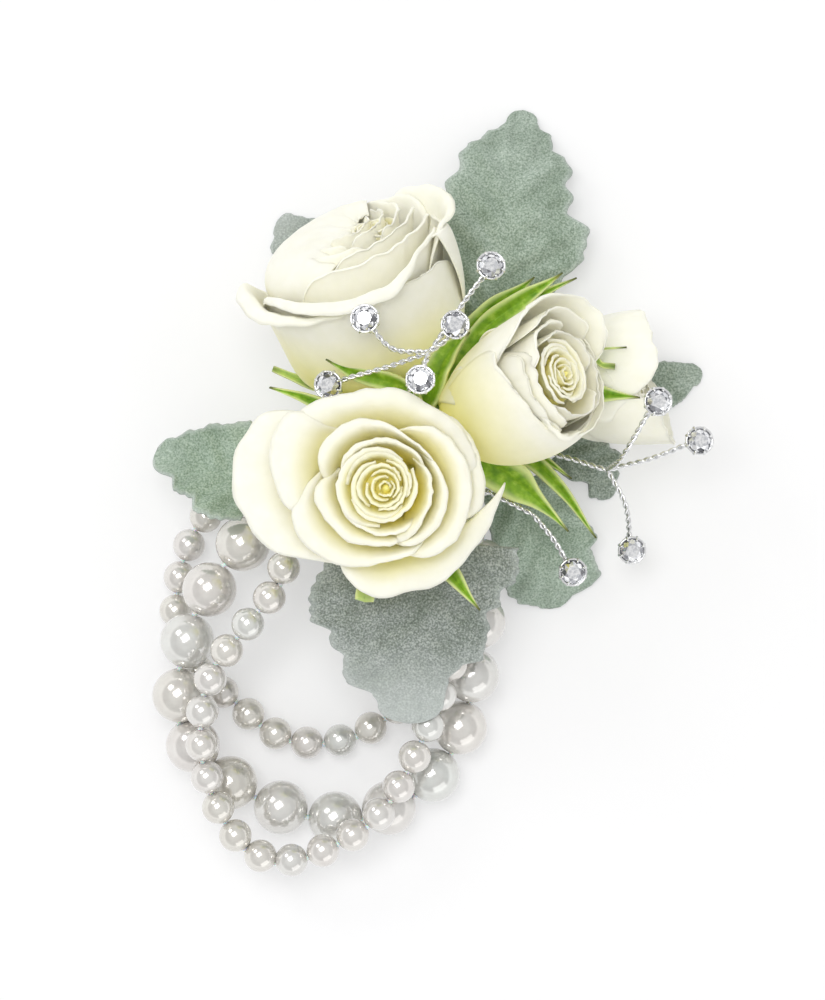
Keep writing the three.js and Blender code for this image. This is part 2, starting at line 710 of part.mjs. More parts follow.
function lobedLeaf(leaf) {
  const run = leaf.tip.clone().sub(leaf.base);
  const face = leaf.face.clone().addScaledVector(run, -leaf.face.dot(run) / run.lengthSq());
  const frame = frameAlong(leaf.base, face, run);
  const length = run.length();
  const point = (t, s) => {
    const half = leafHalfWidth(leaf, t);
    const cup = -0.06 * half * s * s;
    const lift = leaf.arch * Math.sin(Math.PI * t);
    return vec(length * t, half * s, lift + cup);
  };
  const blade = sheet(point, 6 * leaf.lobes, 2, LEAF_THICKNESS).applyMatrix4(frame);
  const start = vec(length * 0.08, 0, leaf.arch * Math.sin(Math.PI * 0.08)).applyMatrix4(frame);
  return joined([blade, rod([start, leaf.base, ...leaf.stalk], LEAF_STALK_RADIUS, 5, 7)]);
}
for (const [name, leaf] of Object.entries(LEAVES)) addPiece(`leaf_${name}`, lobedLeaf(leaf), "leaf");

// Rhinestone sprays. stub: wire fixed in the stem bundle, the spray bends at its end; fork: end of the
// moving trunk; branches: wire from the fork to the cup under each gem; looks: way that gem looks.
const SPRAYS = {
  left: {
    stub: [vec(2, 8, 2.5), vec(2.8, 13, 10.5), vec(5.6, 19.4, 18)],
    fork: vec(9.9, 27, 25),
    branches: [
      { gem: vec(-1.5, 32.7, 29.5), looks: vec(-0.1, 0.1, 1), via: [vec(3.2, 27.6, 26.5)] },
      { gem: vec(14.3, 31.7, 27), looks: vec(0.1, 0.1, 1), via: [vec(13, 29.4, 24.6)] },
      { gem: vec(20.7, 42.3, 23), looks: vec(0.1, 0.2, 1), via: [vec(16, 36, 23.6)] },
      { gem: vec(8.2, 21.8, 36.4), looks: vec(0, 0.2, 1), via: [vec(9.4, 25.8, 31.6)] },
      { gem: vec(-8, 21.3, 22.5), looks: vec(-0.3, -0.1, 1), via: [vec(3, 24.6, 24.6), vec(-4.6, 22.5, 22)] },
    ],
  },
  right: {
    stub: [vec(6, 5, 0.4), vec(14, 5.4, 0.4), vec(22.8, 6.4, -0.2), vec(31, 9.2, -0.6)],
    fork: vec(42.2, 6.4, 3),
    branches: [
      { gem: vec(58.6, 11.6, 7), looks: vec(0.2, 0, 1), via: [vec(50, 8.4, 5)] },
      { gem: vec(46.9, -8.2, -2), looks: vec(0.1, -0.2, 1), via: [vec(45.6, 0, 1)] },
      { gem: vec(50.4, 18.4, 20), looks: vec(0.2, 0, 1), via: [vec(44.4, 8.6, 13)] },
    ],
  },
  low: {
    stub: [vec(6, 5, 2), vec(12, 5, 4.4), vec(19, 3, 6.5)],
    fork: vec(28.5, -1.6, 7),
    branches: [{ gem: vec(35.8, -12.1, 6), looks: vec(0.1, -0.1, 1), via: [vec(32.6, -6.6, 5.6)] }],
  },
};
const GEM_DEPTH = GEM_RADIUS * 0.62; // girdle to the gem's point
const CUP_DEPTH = GEM_DEPTH + 0.9;

function gemCup() {
  const outer = GEM_RADIUS + SEAT_GAP + CUP_WALL;
  const inner = GEM_RADIUS + SEAT_GAP;
  return turned(
    [
      [0, -CUP_DEPTH],
      [0.8, -CUP_DEPTH],
      [outer, -0.3],
      [outer, 0.1],
      [inner, 0.1],
      [0.3, -GEM_DEPTH - SEAT_GAP],
      [0, -GEM_DEPTH - SEAT_GAP],
    ],
    8
  );
}

function gem() {
  return turned(
    [
      [0, -GEM_DEPTH],
      [GEM_RADIUS, 0.2],
      [GEM_RADIUS, 0.5],
      [GEM_RADIUS * 0.6, 1.3],
      [0, 1.3],
    ],
    8
  );
}

function addSpray(name, spray) {
  const end = spray.stub.at(-1);
  const before = spray.stub.at(-2);
  const forward = end.clone().sub(before).normalize();
  const start = end.clone().addScaledVector(forward, SEAT_GAP);
  const solids = [rod([start, start.clone().lerp(spray.fork, 0.5), spray.fork], WIRE_RADIUS, 5, 3)];
  spray.branches.forEach((branch, i) => {
    const frame = frameAlong(branch.gem, branch.looks, vec(1, 0, 0));
    const foot = vec(0, 0, -CUP_DEPTH + 0.3).applyMatrix4(frame);
    solids.push(rod([spray.fork, ...branch.via, foot], WIRE_RADIUS, 5, 6));
    solids.push(gemCup().applyMatrix4(frame));
    addPiece(`gem_${name}_${i + 1}`, facingOut(gem().applyMatrix4(frame)), "gem");
  });
  addPiece(`spray_wire_${name}`, joined(solids), "silver");
}
for (const [name, spray] of Object.entries(SPRAYS)) addSpray(name, spray);

// Stem bundle wound with tape, with the fixed ends of the spray wires and of the lifting leaf's stalk
function stemBundle() {
  const half = BUNDLE_LENGTH / 2;
  const roll = turned(
    [
      [0, -half],
      [BUNDLE_RADIUS * 0.75, -half],
      [BUNDLE_RADIUS, -half * 0.75],
      [BUNDLE_RADIUS, half * 0.75],
      [BUNDLE_RADIUS * 0.75, half],
      [0, half],
    ],
    14
  );
  roll.rotateY(Math.PI / 2).translate(0, BUNDLE_Y, 0);
  const wires = Object.values(SPRAYS).map((spray) => rod(spray.stub, WIRE_RADIUS, 5, 5));
  return joined([roll, ...wires, rod(LEAVES.low.stub, LEAF_STALK_RADIUS, 5, 8)]);
}
addPiece("stem_bundle", stemBundle(), "tape");

export default corsage;
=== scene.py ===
# Wrist corsage with white roses, felted leaves, rhinestone sprays and three pearl strands.
import math
import random

import bpy
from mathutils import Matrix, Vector, noise


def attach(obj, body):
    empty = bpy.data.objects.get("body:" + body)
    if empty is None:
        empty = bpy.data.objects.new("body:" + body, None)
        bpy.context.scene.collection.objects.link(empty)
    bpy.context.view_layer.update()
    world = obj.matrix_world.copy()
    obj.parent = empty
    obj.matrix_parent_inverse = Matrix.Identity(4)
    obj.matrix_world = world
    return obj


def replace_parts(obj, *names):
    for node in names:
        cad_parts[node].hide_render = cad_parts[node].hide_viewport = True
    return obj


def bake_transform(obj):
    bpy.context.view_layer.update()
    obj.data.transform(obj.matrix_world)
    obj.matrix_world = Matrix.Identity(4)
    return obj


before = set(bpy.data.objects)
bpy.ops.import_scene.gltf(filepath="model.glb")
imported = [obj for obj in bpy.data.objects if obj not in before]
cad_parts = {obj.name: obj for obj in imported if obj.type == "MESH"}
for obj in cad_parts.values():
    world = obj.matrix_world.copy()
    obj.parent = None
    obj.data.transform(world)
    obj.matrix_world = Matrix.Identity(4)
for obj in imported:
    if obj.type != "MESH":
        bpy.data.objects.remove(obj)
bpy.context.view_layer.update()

MM = 0.001  # all measures below are in millimetres, angles in degrees

# Camera, straight above the table
CAMERA_PLACE = Vector((6.8356, 0.9114, 787))
CAMERA_LENS = 155.43
SENSOR = 36

# Table, pearls and elastic
TABLE_Z = -13
LARGE_PEARL = 10
LARGE_PITCH = 10.3
SMALL_PEARL = 6
SMALL_PITCH = 6
BORE_RADIUS = 0.55
BORE_EASE = 0.12
PEARL_RINGS = 28
PEARL_SIDES = 44
CORD_RADIUS = 0.5
CORD_END_X = 9.5

# Flowers
PETAL_THICKNESS = 0.32
PETAL_ROOT = 1.8
CORE_RADIUS = 1.55
HIP_RADIUS = 4.2
HIP_LENGTH = 4.5
STEM_RADIUS = 1.6
SEPAL_THICKNESS = 0.5
LEAF_THICKNESS = 0.7
STALK_RADIUS = 0.7

# Stem bundle, along X behind the front rose
BUNDLE_RADIUS = 4.5
BUNDLE_LENGTH = 15
BUNDLE_Y = 5.8
TAPE_STEP = 2.6
TAPE_EDGE = 0.3

# Rhinestone sprays
WIRE_STRAND = 0.27
WIRE_PITCH = 3.2
GEM_RADIUS = 2.1
GEM_TABLE = 1.25
CUP_RADIUS = 2.6
CUP_DEPTH = 2.2


# Small helpers

def vec(*xyz):
    return Vector(xyz)


def srgb(red, green, blue):
    """Linear colour of an sRGB colour given as 0..255."""
    def linear(c):
        c /= 255
        return c / 12.92 if c <= 0.04045 else ((c + 0.055) / 1.055) ** 2.4
    return (linear(red), linear(green), linear(blue), 1)


def smooth(x):
    x = min(max(x, 0), 1)
    return x * x * (3 - 2 * x)


def smooth_list(values, s):
    """Value at s = 0..1 of a smooth curve through evenly spaced values."""
    last = len(values) - 1
    at = min(max(s, 0), 1) * last
    i = min(int(at), last - 1)
    f = at - i
    a = values[max(i - 1, 0)]
    b = values[i]
    c = values[i + 1]
    d = values[min(i + 2, last)]
    return b + 0.5 * f * (c - a + f * (2 * a - 5 * b + 4 * c - d + f * (3 * (b - c) + d - a)))


def bezier(points, t):
    while len(points) > 1:
        points = [a + (b - a) * t for a, b in zip(points, points[1:])]
    return points[0]


def centripetal(points, per_span=40):
    """Dense points of the centripetal Catmull-Rom curve through the points."""
    points = [Vector(point) for point in points]
    ends = [points[0] * 2 - points[1], *points, points[-1] * 2 - points[-2]]
    dense = []
    for p0, p1, p2, p3 in zip(ends, ends[1:], ends[2:], ends[3:]):
        d0, d1, d2 = ((b - a).length ** 0.5 for a, b in ((p0, p1), (p1, p2), (p2, p3)))
        m1 = ((p1 - p0) / d0 - (p2 - p0) / (d0 + d1) + (p2 - p1) / d1) * d1
        m2 = ((p2 - p1) / d1 - (p3 - p1) / (d1 + d2) + (p3 - p2) / d2) * d1
        for i in range(per_span):
            t = i / per_span
            dense.append(
                p1 * (2 * t**3 - 3 * t**2 + 1) + m1 * (t**3 - 2 * t**2 + t)
                + p2 * (3 * t**2 - 2 * t**3) + m2 * (t**3 - t**2)
            )
    return dense + [points[-1].copy()]


def line_length(points):
    return sum((b - a).length for a, b in zip(points, points[1:]))


def spaced(points, count):
    """count + 1 points evenly spaced along a dense line."""
    step = line_length(points) / count
    found = [points[0].copy()]
    gone = 0
    for a, b in zip(points, points[1:]):
        part = (b - a).length
        while len(found) < count and gone + part >= step * len(found):
            found.append(a + (b - a) * ((step * len(found) - gone) / part))
        gone += part
    return found + [points[-1].copy()]


class Axes:
    """A place with three directions: z along the axis, x nearest the hint."""

    def __init__(self, place, axis, hint):
        self.place = place
        self.z = axis.normalized()
        self.x = (hint - self.z * hint.dot(self.z)).normalized()
        self.y = self.z.cross(self.x)

    def at(self, x, y, z):
        return self.place + self.x * x + self.y * y + self.z * z

    def around(self, radius, angle, z):
        return self.at(radius * math.cos(angle), radius * math.sin(angle), z)


# Mesh building

class Shape:
    """Points, faces and per-point values of one piece, gathered from its parts."""

    def __init__(self):
        self.points = []
        self.faces = []
        self.values = {}

    def add(self, points, faces, **values):
        start = len(self.points)
        self.points += points
        self.faces += [[start + i for i in face] for face in faces]
        for name, value in values.items():
            column = self.values.setdefault(name, [0.0] * start)
            column += value if isinstance(value, list) else [value] * len(points)
        for column in self.values.values():
            column += [0.0] * (len(self.points) - len(column))

    def grid(self, columns, rows, place, value=None):
        """Skin of place(s, t) over s, t = 0..1; value(s, t) gives the named values of a point."""
        spots = [(i / (columns - 1), j / (rows - 1)) for j in range(rows) for i in range(columns)]
        faces = []
        for j in range(rows - 1):
            for a in range(j * columns, (j + 1) * columns - 1):
                faces.append([a, a + 1, a + 1 + columns, a + columns])
        values = {}
        if value:
            for s, t in spots:
                for name, number in value(s, t).items():
                    values.setdefault(name, []).append(number)
        self.add([place(s, t) for s, t in spots], faces, **values)

    def lathe(self, axes, profile, sides, closed=False, **values):
        """Profile of (radius, z) pairs turned round the axes; an open one is capped at its ends."""
        points = []
        for radius, z in profile:
            points += [axes.around(radius, 2 * math.pi * i / sides, z) for i in range(sides)]
        self.add(points, ring_faces(len(profile), sides, closed), **values)

    def tube(self, path, radius, sides, **values):
        """Closed tube along a line; radius is a number, or a function of the share of the way."""
        points = []
        last = len(path) - 1
        for i, (place, normal, other) in enumerate(carried(path)):
            r = radius(i / last) if callable(radius) else radius
            for k in range(sides):
                turn = 2 * math.pi * k / sides
                points.append(place + (normal * math.cos(turn) + other * math.sin(turn)) * r)
        self.add(points, ring_faces(len(path), sides), **values)

    def piece(self, name, body, slot, finish, thickness=0, rounded=True):
        mesh = bpy.data.meshes.new(name)
        mesh.from_pydata([p * MM for p in self.points], [], self.faces)
        mesh.polygons.foreach_set("use_smooth", [rounded] * len(mesh.polygons))
        for value_name, column in self.values.items():
            mesh.attributes.new(value_name, "FLOAT", "POINT").data.foreach_set("value", column)
        mesh.materials.append(finish)
        obj = bpy.data.objects.new(name, mesh)
        bpy.context.scene.collection.objects.link(obj)
        if thickness:
            skin = obj.modifiers.new("thickness", "SOLIDIFY")
            skin.thickness = thickness * MM
            skin.offset = 0
        if body:
            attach(obj, body)
        return obj


def ring_faces(rings, sides, closed=False):
    """Faces between rings of points, row by row; an open row of rings is capped at its ends."""
    faces = []
    for j in range(rings if closed else rings - 1):
        a = j * sides
        b = (j + 1) % rings * sides
        faces += [[a + i, a + (i + 1) % sides, b + (i + 1) % sides, b + i] for i in range(sides)]
    if not closed:
        faces.append(list(range(sides))[::-1])
        faces.append([(rings - 1) * sides + i for i in range(sides)])
    return faces


def carried(path):
    """Each point of a line with two directions across it, carried along without twist."""
    last = len(path) - 1
    tangent = (path[1] - path[0]).normalized()
    normal = tangent.orthogonal().normalized()
    found = []
    for i, place in enumerate(path):
        tangent = (path[min(i + 1, last)] - path[max(i - 1, 0)]).normalized()
        normal = (normal - tangent * normal.dot(tangent)).normalized()
        found.append((place, normal, tangent.cross(normal)))
    return found


# Materials

def set_stops(ramp, stops):
    """Gives a colour ramp its (position, colour) pairs."""
    marks = ramp.elements
    while len(marks) < len(stops):
        marks.new(0.5)
    for mark, (at, colour) in zip(marks, stops):
        mark.position = at
        mark.color = colour


class Finish:
    """A procedural material around one Principled shader."""

    def __init__(self, name, **sockets):
        self.material = bpy.data.materials.new(name)
        self.material.use_nodes = True
        self.tree = self.material.node_tree
        self.shader = self.tree.nodes["Principled BSDF"]
        for socket, value in sockets.items():
            self.shader.inputs[socket.replace("_", " ")].default_value = value

    def node(self, kind, **settings):
        made = self.tree.nodes.new(kind)
        for name, value in settings.items():
            setattr(made, name, value)
        return made

    def link(self, source, target):
        self.tree.links.new(source, target)

    def feed(self, source, socket):
        self.link(source, self.shader.inputs[socket])

    def grain(self, size, detail=3, stretch=(1, 1, 1)):
        """Noise 0..1 with lumps of about the given size in mm."""
        place = self.node("ShaderNodeTexCoord").outputs["Object"]
        mapping = self.node("ShaderNodeMapping")
        mapping.inputs["Scale"].default_value = stretch
        self.link(place, mapping.inputs["Vector"])
        made = self.node("ShaderNodeTexNoise")
        made.inputs["Scale"].default_value = 1 / (size * MM)
        made.inputs["Detail"].default_value = detail
        self.link(mapping.outputs[0], made.inputs["Vector"])
        return made.outputs["Fac"]

    def value(self, name):
        return self.node("ShaderNodeAttribute", attribute_name=name).outputs["Fac"]

    def ramp(self, source, *stops):
        """Colour by a 0..1 value; each stop is a position and an sRGB colour."""
        made = self.node("ShaderNodeValToRGB")
        set_stops(made.color_ramp, [(at, srgb(*colour)) for at, colour in stops])
        self.link(source, made.inputs["Fac"])
        return made.outputs["Color"]

    def surface(self, colour, grain, low, high):
        """Colour, and a roughness that follows the grain from low to high."""
        self.feed(colour, "Base Color")
        made = self.node("ShaderNodeMapRange")
        made.inputs["To Min"].default_value = low
        made.inputs["To Max"].default_value = high
        self.link(grain, made.inputs["Value"])
        self.feed(made.outputs["Result"], "Roughness")

    def mix(self, share, first, second, how="MIX"):
        made = self.node("ShaderNodeMix", data_type="RGBA", blend_type=how)
        for socket, value in ((made.inputs[0], share), (made.inputs[6], first), (made.inputs[7], second)):
            if isinstance(value, bpy.types.NodeSocket):
                self.link(value, socket)
            else:
                socket.default_value = value
        return made.outputs[2]

    def bump(self, source, depth):
        """Relief of the given depth in mm."""
        made = self.node("ShaderNodeBump")
        made.inputs["Distance"].default_value = depth * MM
        made.inputs["Strength"].default_value = 1
        self.link(source, made.inputs["Height"])
        self.feed(made.outputs["Normal"], "Normal")


def petal_finish():
    """White petals that turn cream, then yellow-green, towards the root."""
    finish = Finish("petal", Subsurface_Weight=0.35, Subsurface_Scale=0.0015, IOR=1.35)
    finish.shader.inputs["Subsurface Radius"].default_value = (1, 0.97, 0.8)
    colour = finish.ramp(
        finish.value("depth"),
        (0, (222, 218, 92)),
        (0.26, (255, 243, 128)),
        (0.56, (255, 249, 196)),
        (0.82, (254, 251, 230)),
        (1, (254, 252, 236)),
    )
    mottle = finish.ramp(finish.grain(3, 4), (0.3, (251, 251, 247)), (0.7, (255, 255, 255)))
    finish.surface(finish.mix(1.0, colour, mottle, "MULTIPLY"), finish.grain(1.2), 0.48, 0.62)
    finish.bump(finish.grain(2.5, 4), 0.12)
    return finish.material


def leaf_finish():
    """Grey-green leaf under a pale felt, palest at the margin, and painted lighter towards the tip as painted
    light.
    """
    finish = Finish("leaf", Sheen_Weight=0.25, Sheen_Roughness=0.5, IOR=1.3)
    felt = finish.grain(0.35, 5)
    colour = finish.ramp(
        felt, (0.34, (116, 124, 117)), (0.5, (152, 159, 154)), (0.66, (194, 199, 195))
    )
    green = finish.ramp(
        felt, (0.34, (142, 163, 142)), (0.5, (170, 191, 171)), (0.66, (197, 213, 197))
    )
    colour = finish.mix(finish.value("green"), colour, green)
    patches = finish.ramp(finish.grain(6, 4), (0.32, (214, 219, 212)), (0.68, (255, 255, 255)))
    colour = finish.mix(1.0, colour, patches, "MULTIPLY")
    # the margin value paints the pale felt at the margin, and also the painted light that lightens each leaf
    # towards its tip
    colour = finish.mix(finish.value("margin"), colour, srgb(208, 214, 211))
    finish.surface(colour, felt, 0.75, 0.95)
    finish.bump(finish.grain(0.3, 4), 0.22)
    return finish.material


def calyx_finish():
    """Fresh green with pale yellow-green margins."""
    finish = Finish("calyx", IOR=1.4, Subsurface_Weight=0.1, Subsurface_Scale=0.0008)
    streak = finish.grain(1.6, 4)
    colour = finish.ramp(
        streak, (0.3, (96, 142, 22)), (0.55, (134, 176, 40)), (0.75, (172, 202, 78))
    )
    colour = finish.mix(finish.value("margin"), colour, srgb(220, 230, 160))
    colour = finish.mix(finish.value("tip"), colour, srgb(84, 88, 30))
    finish.surface(colour, streak, 0.38, 0.6)
    finish.bump(finish.grain(0.7, 3), 0.12)
    return finish.material


def pearl_finish():
    """Pearl lacquer: a white body under a clear coat, each bead a shade of its own."""
    finish = Finish("pearl", Metallic=0.5, Coat_Weight=0.8, Coat_Roughness=0.04, Coat_IOR=1.5, IOR=1.6)
    tone = finish.ramp(
        finish.value("tone"),
        (0, (224, 222, 214)),
        (0.5, (227, 224, 220)),
        (1, (221, 225, 221)),
    )
    cloud = finish.ramp(finish.grain(2.2, 2), (0.3, (246, 244, 244)), (0.7, (255, 255, 255)))
    finish.surface(finish.mix(1.0, tone, cloud, "MULTIPLY"), finish.grain(1.5), 0.13, 0.17)
    return finish.material


def elastic_finish():
    finish = Finish("elastic", IOR=1.45, Subsurface_Weight=0.5, Subsurface_Scale=0.001)
    colour = finish.ramp(finish.grain(0.4), (0.3, (240, 241, 239)), (0.7, (250, 250, 248)))
    finish.surface(colour, finish.grain(0.5), 0.3, 0.45)
    return finish.material


def silver_finish(name, rough):
    finish = Finish(name, Metallic=1)
    colour = finish.ramp(finish.grain(0.8, 4), (0.3, (224, 225, 226)), (0.7, (238, 238, 238)))
    finish.surface(colour, finish.grain(0.5, 3, (1, 6, 1)), rough * 0.85, rough * 1.15)
    finish.bump(finish.grain(0.4), 0.01)
    return finish.material


def gem_finish():
    """Foil-backed stone: a metal mirror whose faces carry painted reflections, each face a tone of its own
    from near black to white.
    """
    finish = Finish("rhinestone", Metallic=0.9, Coat_Weight=1, Coat_Roughness=0.01, Coat_IOR=1.7)
    # painted reflection: each face's tone, dark grey to white, stands in for the bright and dark parts of the
    # room that it would mirror
    colour = finish.ramp(
        finish.value("painted_reflection"),
        (0, (58, 60, 66)),
        (0.3, (140, 141, 146)),
        (0.55, (226, 227, 231)),
        (1, (255, 255, 255)),
    )
    speck = finish.ramp(finish.grain(0.6), (0.35, (214, 216, 220)), (0.6, (255, 255, 255)))
    finish.surface(finish.mix(1.0, colour, speck, "MULTIPLY"), finish.grain(1.0), 0.02, 0.06)
    return finish.material


def tape_finish():
    finish = Finish("tape")
    colour = finish.ramp(finish.grain(0.9, 5), (0.3, (132, 154, 100)), (0.7, (172, 190, 140)))
    finish.surface(colour, finish.grain(0.6), 0.6, 0.85)
    finish.bump(finish.grain(0.7, 5, (1, 3, 3)), 0.25)
    return finish.material


PETAL = petal_finish()
LEAF = leaf_finish()
CALYX = calyx_finish()
PEARL = pearl_finish()
ELASTIC = elastic_finish()
SILVER = silver_finish("wire", 0.2)
PLATE = silver_finish("plate", 0.35)
GEM = gem_finish()
TAPE = tape_finish()


# Camera, light and table

def studio():
    scene = bpy.context.scene
    scene.view_settings.view_transform = "Standard"
    camera = bpy.data.cameras.new("camera")
    camera.lens = CAMERA_LENS
    camera.sensor_width = SENSOR
    camera.clip_start = 10 * MM
    seat = bpy.data.objects.new("camera", camera)
    seat.location = CAMERA_PLACE * MM
    scene.collection.objects.link(seat)
    scene.camera = seat
    lamp("softbox", vec(-160, 220, 1100), (600, 500), 4.6)
    lamp("side_light", vec(-550, 500, 600), (300, 300), 1)
    lamp("fill_light", vec(450, -800, 450), (900, 500), 1.2)
    sky(scene)
    table()


def lamp(name, place, size, watts):
    light = bpy.data.lights.new(name, "AREA")
    light.shape = "RECTANGLE"
    light.size = size[0] * MM
    light.size_y = size[1] * MM
    light.energy = watts
    obj = bpy.data.objects.new(name, light)
    obj.location = place * MM
    obj.rotation_mode = "QUATERNION"
    obj.rotation_quaternion = (-place).to_track_quat("-Z", "Y")
    bpy.context.scene.collection.objects.link(obj)


def sky(scene):
    """Room light by elevation: bright at the horizon and overhead, a darker band between."""
    world = bpy.data.worlds.new("room")
    scene.world = world
    world.use_nodes = True
    nodes = world.node_tree.nodes
    link = world.node_tree.links.new
    way = nodes.new("ShaderNodeTexCoord")
    parts = nodes.new("ShaderNodeSeparateXYZ")
    bands = nodes.new("ShaderNodeValToRGB")
    levels = [(0, 1.1), (0.22, 1.1), (0.32, 0.6), (0.68, 0.6), (0.8, 0.75), (1, 0.75)]
    set_stops(bands.color_ramp, [(at, (level, level, level, 1)) for at, level in levels])
    link(way.outputs["Generated"], parts.inputs[0])
    link(parts.outputs["Z"], bands.inputs["Fac"])
    link(bands.outputs["Color"], nodes["Background"].inputs["Color"])


def table():
    """White table that keeps its shadow; seen directly or mirrored it is partly lit from below."""
    size = 4000
    shape = Shape()
    shape.grid(2, 2, lambda s, t: vec((s - 0.5) * size, (t - 0.5) * size, TABLE_Z))
    finish = Finish("table")
    finish.tree.nodes.remove(finish.shader)
    paint = finish.node("ShaderNodeBsdfDiffuse")
    paint.inputs["Color"].default_value = (0.92, 0.92, 0.925, 1)
    glow = finish.node("ShaderNodeEmission")
    path = finish.node("ShaderNodeLightPath")
    either = path.outputs["Is Camera Ray"]
    for kind in ("Is Glossy Ray", "Is Transmission Ray"):
        larger = finish.node("ShaderNodeMath", operation="MAXIMUM")
        finish.link(either, larger.inputs[0])
        finish.link(path.outputs[kind], larger.inputs[1])
        either = larger.outputs[0]
    share = finish.node("ShaderNodeMath", operation="MULTIPLY")
    share.inputs[1].default_value = 0.4
    finish.link(either, share.inputs[0])
    both = finish.node("ShaderNodeMixShader")
    for i, part in enumerate((share, paint, glow)):
        finish.link(part.outputs[0], both.inputs[i])
    finish.link(both.outputs[0], finish.tree.nodes["Material Output"].inputs["Surface"])
    shape.piece("table", None, None, finish.material)


studio()


# Pearl strands

BACK_ROUTE = [
    (-11.9, 1.6, -8.3), (-18, 3.2, -8.3), (-25, 3.2, -8.3), (-32.7, -3.7, -9.2),
    (-36.5, -14.8, -10), (-36.1, -27, -10), (-26.7, -35.6, -10), (-17.1, -43.2, -10),
    (-5.3, -43.4, -10), (5.1, -36.7, -10), (11.9, -27.7, -10), (15.6, -16.6, -9.4),
    (18, -7, -8.3), (17.2, -0.6, -8.3), (11.9, 1.6, -8.3),
]
MIDDLE_ROUTE = [
    (-11.9, 1.6, 0), (-17, 0.4, 0), (-23.6, -6.9, 0), (-30.2, -14.4, -0.7),
    (-34.4, -24.3, -1.7), (-36.2, -34.4, -3.2), (-34.6, -44.4, -5.7), (-27, -51.4, -8),
    (-18.3, -55.4, -8), (-9.1, -58.2, -8), (1.6, -56.9, -8), (9.9, -51.2, -8),
    (15.6, -42.5, -8), (17.7, -33.4, -6), (18.6, -22.5, -2), (20, -12.5, -0.5), (19.6, -6, 0),
]
MIDDLE_TAIL = [(18.2, -1.6, 0), (15.6, 1, 0), (11.9, 1.6, 0)]
FRONT_ROUTE = [
    (-11.9, 1.6, 8.3), (-15.4, 0, 8.3), (-15.8, -6, 8), (-16.2, -12.6, 7.5),
    (-23.1, -21.7, 6.5), (-30.1, -31.4, 4.6), (-31.6, -43.2, 3.3), (-29, -54.5, 0.3),
    (-22.5, -63.8, -1.7), (-16.3, -65.5, -1.9), (-10.8, -63.6, -0.7), (-0.5, -57.8, 0.3),
    (6.2, -48.1, 0.3), (10.4, -38.2, 1.1), (14, -28.5, 3.9), (16.4, -17.2, 7),
    (17.2, -7, 8.3), (16, -0.4, 8.3), (11.9, 1.6, 8.3),
]


def elastic(name, route, body):
    """Elastic cord from inside one bar of the plate to inside the other."""
    dense = spaced(centripetal(route), 400)
    first = vec(-CORD_END_X, dense[0].y, dense[0].z)
    last = vec(CORD_END_X, dense[-1].y, dense[-1].z)
    path = [first, *dense, last]
    shape = Shape()
    shape.tube(path, CORD_RADIUS, 10)
    obj = shape.piece(name, body, "elastic", ELASTIC)
    line_length(path) * MM
    return obj


def pearl(shape, start, end, diameter, tone):
    """Bored bead between two points of its cord, with a softened edge round the bore."""
    radius = diameter / 2
    middle = (start + end) / 2
    middle.z = max(middle.z, TABLE_Z + radius)
    axes = Axes(middle, end - start, vec(0.3, 0.2, 1))
    bore = math.asin(BORE_RADIUS / radius)
    profile = []
    for i in range(PEARL_RINGS + 1):
        turn = bore + (math.pi - 2 * bore) * i / PEARL_RINGS
        profile.append((radius * math.sin(turn), radius * math.cos(turn)))
    narrow = BORE_RADIUS - BORE_EASE / 2
    inside = radius * math.cos(bore) - BORE_EASE
    profile = [(narrow, inside), *profile, (narrow, -inside)]
    shape.lathe(axes, profile[::-1], PEARL_SIDES, closed=True, tone=tone)


def bead_ends(route, pitch):
    dense = centripetal(route)
    return spaced(dense, math.floor(line_length(dense) / pitch))


def strands():
    draw = random.Random(7)
    for side, route in (("back", BACK_ROUTE), ("front", FRONT_ROUTE)):
        body = "strand_" + side
        elastic("elastic_" + side, route, body)
        shape = Shape()
        ends = bead_ends(route, SMALL_PITCH)
        for start, end in zip(ends, ends[1:]):
            pearl(shape, start, end, SMALL_PEARL, draw.random())
        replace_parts(shape.piece("pearls_" + side, body, "pearl", PEARL), "pearl_string_" + side)
    cord = elastic("elastic_middle", MIDDLE_ROUTE + MIDDLE_TAIL, "strand_middle")
    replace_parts(cord, "cord_middle")
    ends = bead_ends(MIDDLE_ROUTE, LARGE_PITCH)
    for i, (start, end) in enumerate(zip(ends, ends[1:])):
        shape = Shape()
        pearl(shape, start, end, LARGE_PEARL, draw.random())
        node = f"pearl_large_{i + 1:02d}"
        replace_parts(shape.piece("bead_" + node, "strand_middle", "pearl", PEARL), node)


strands()


# Roses

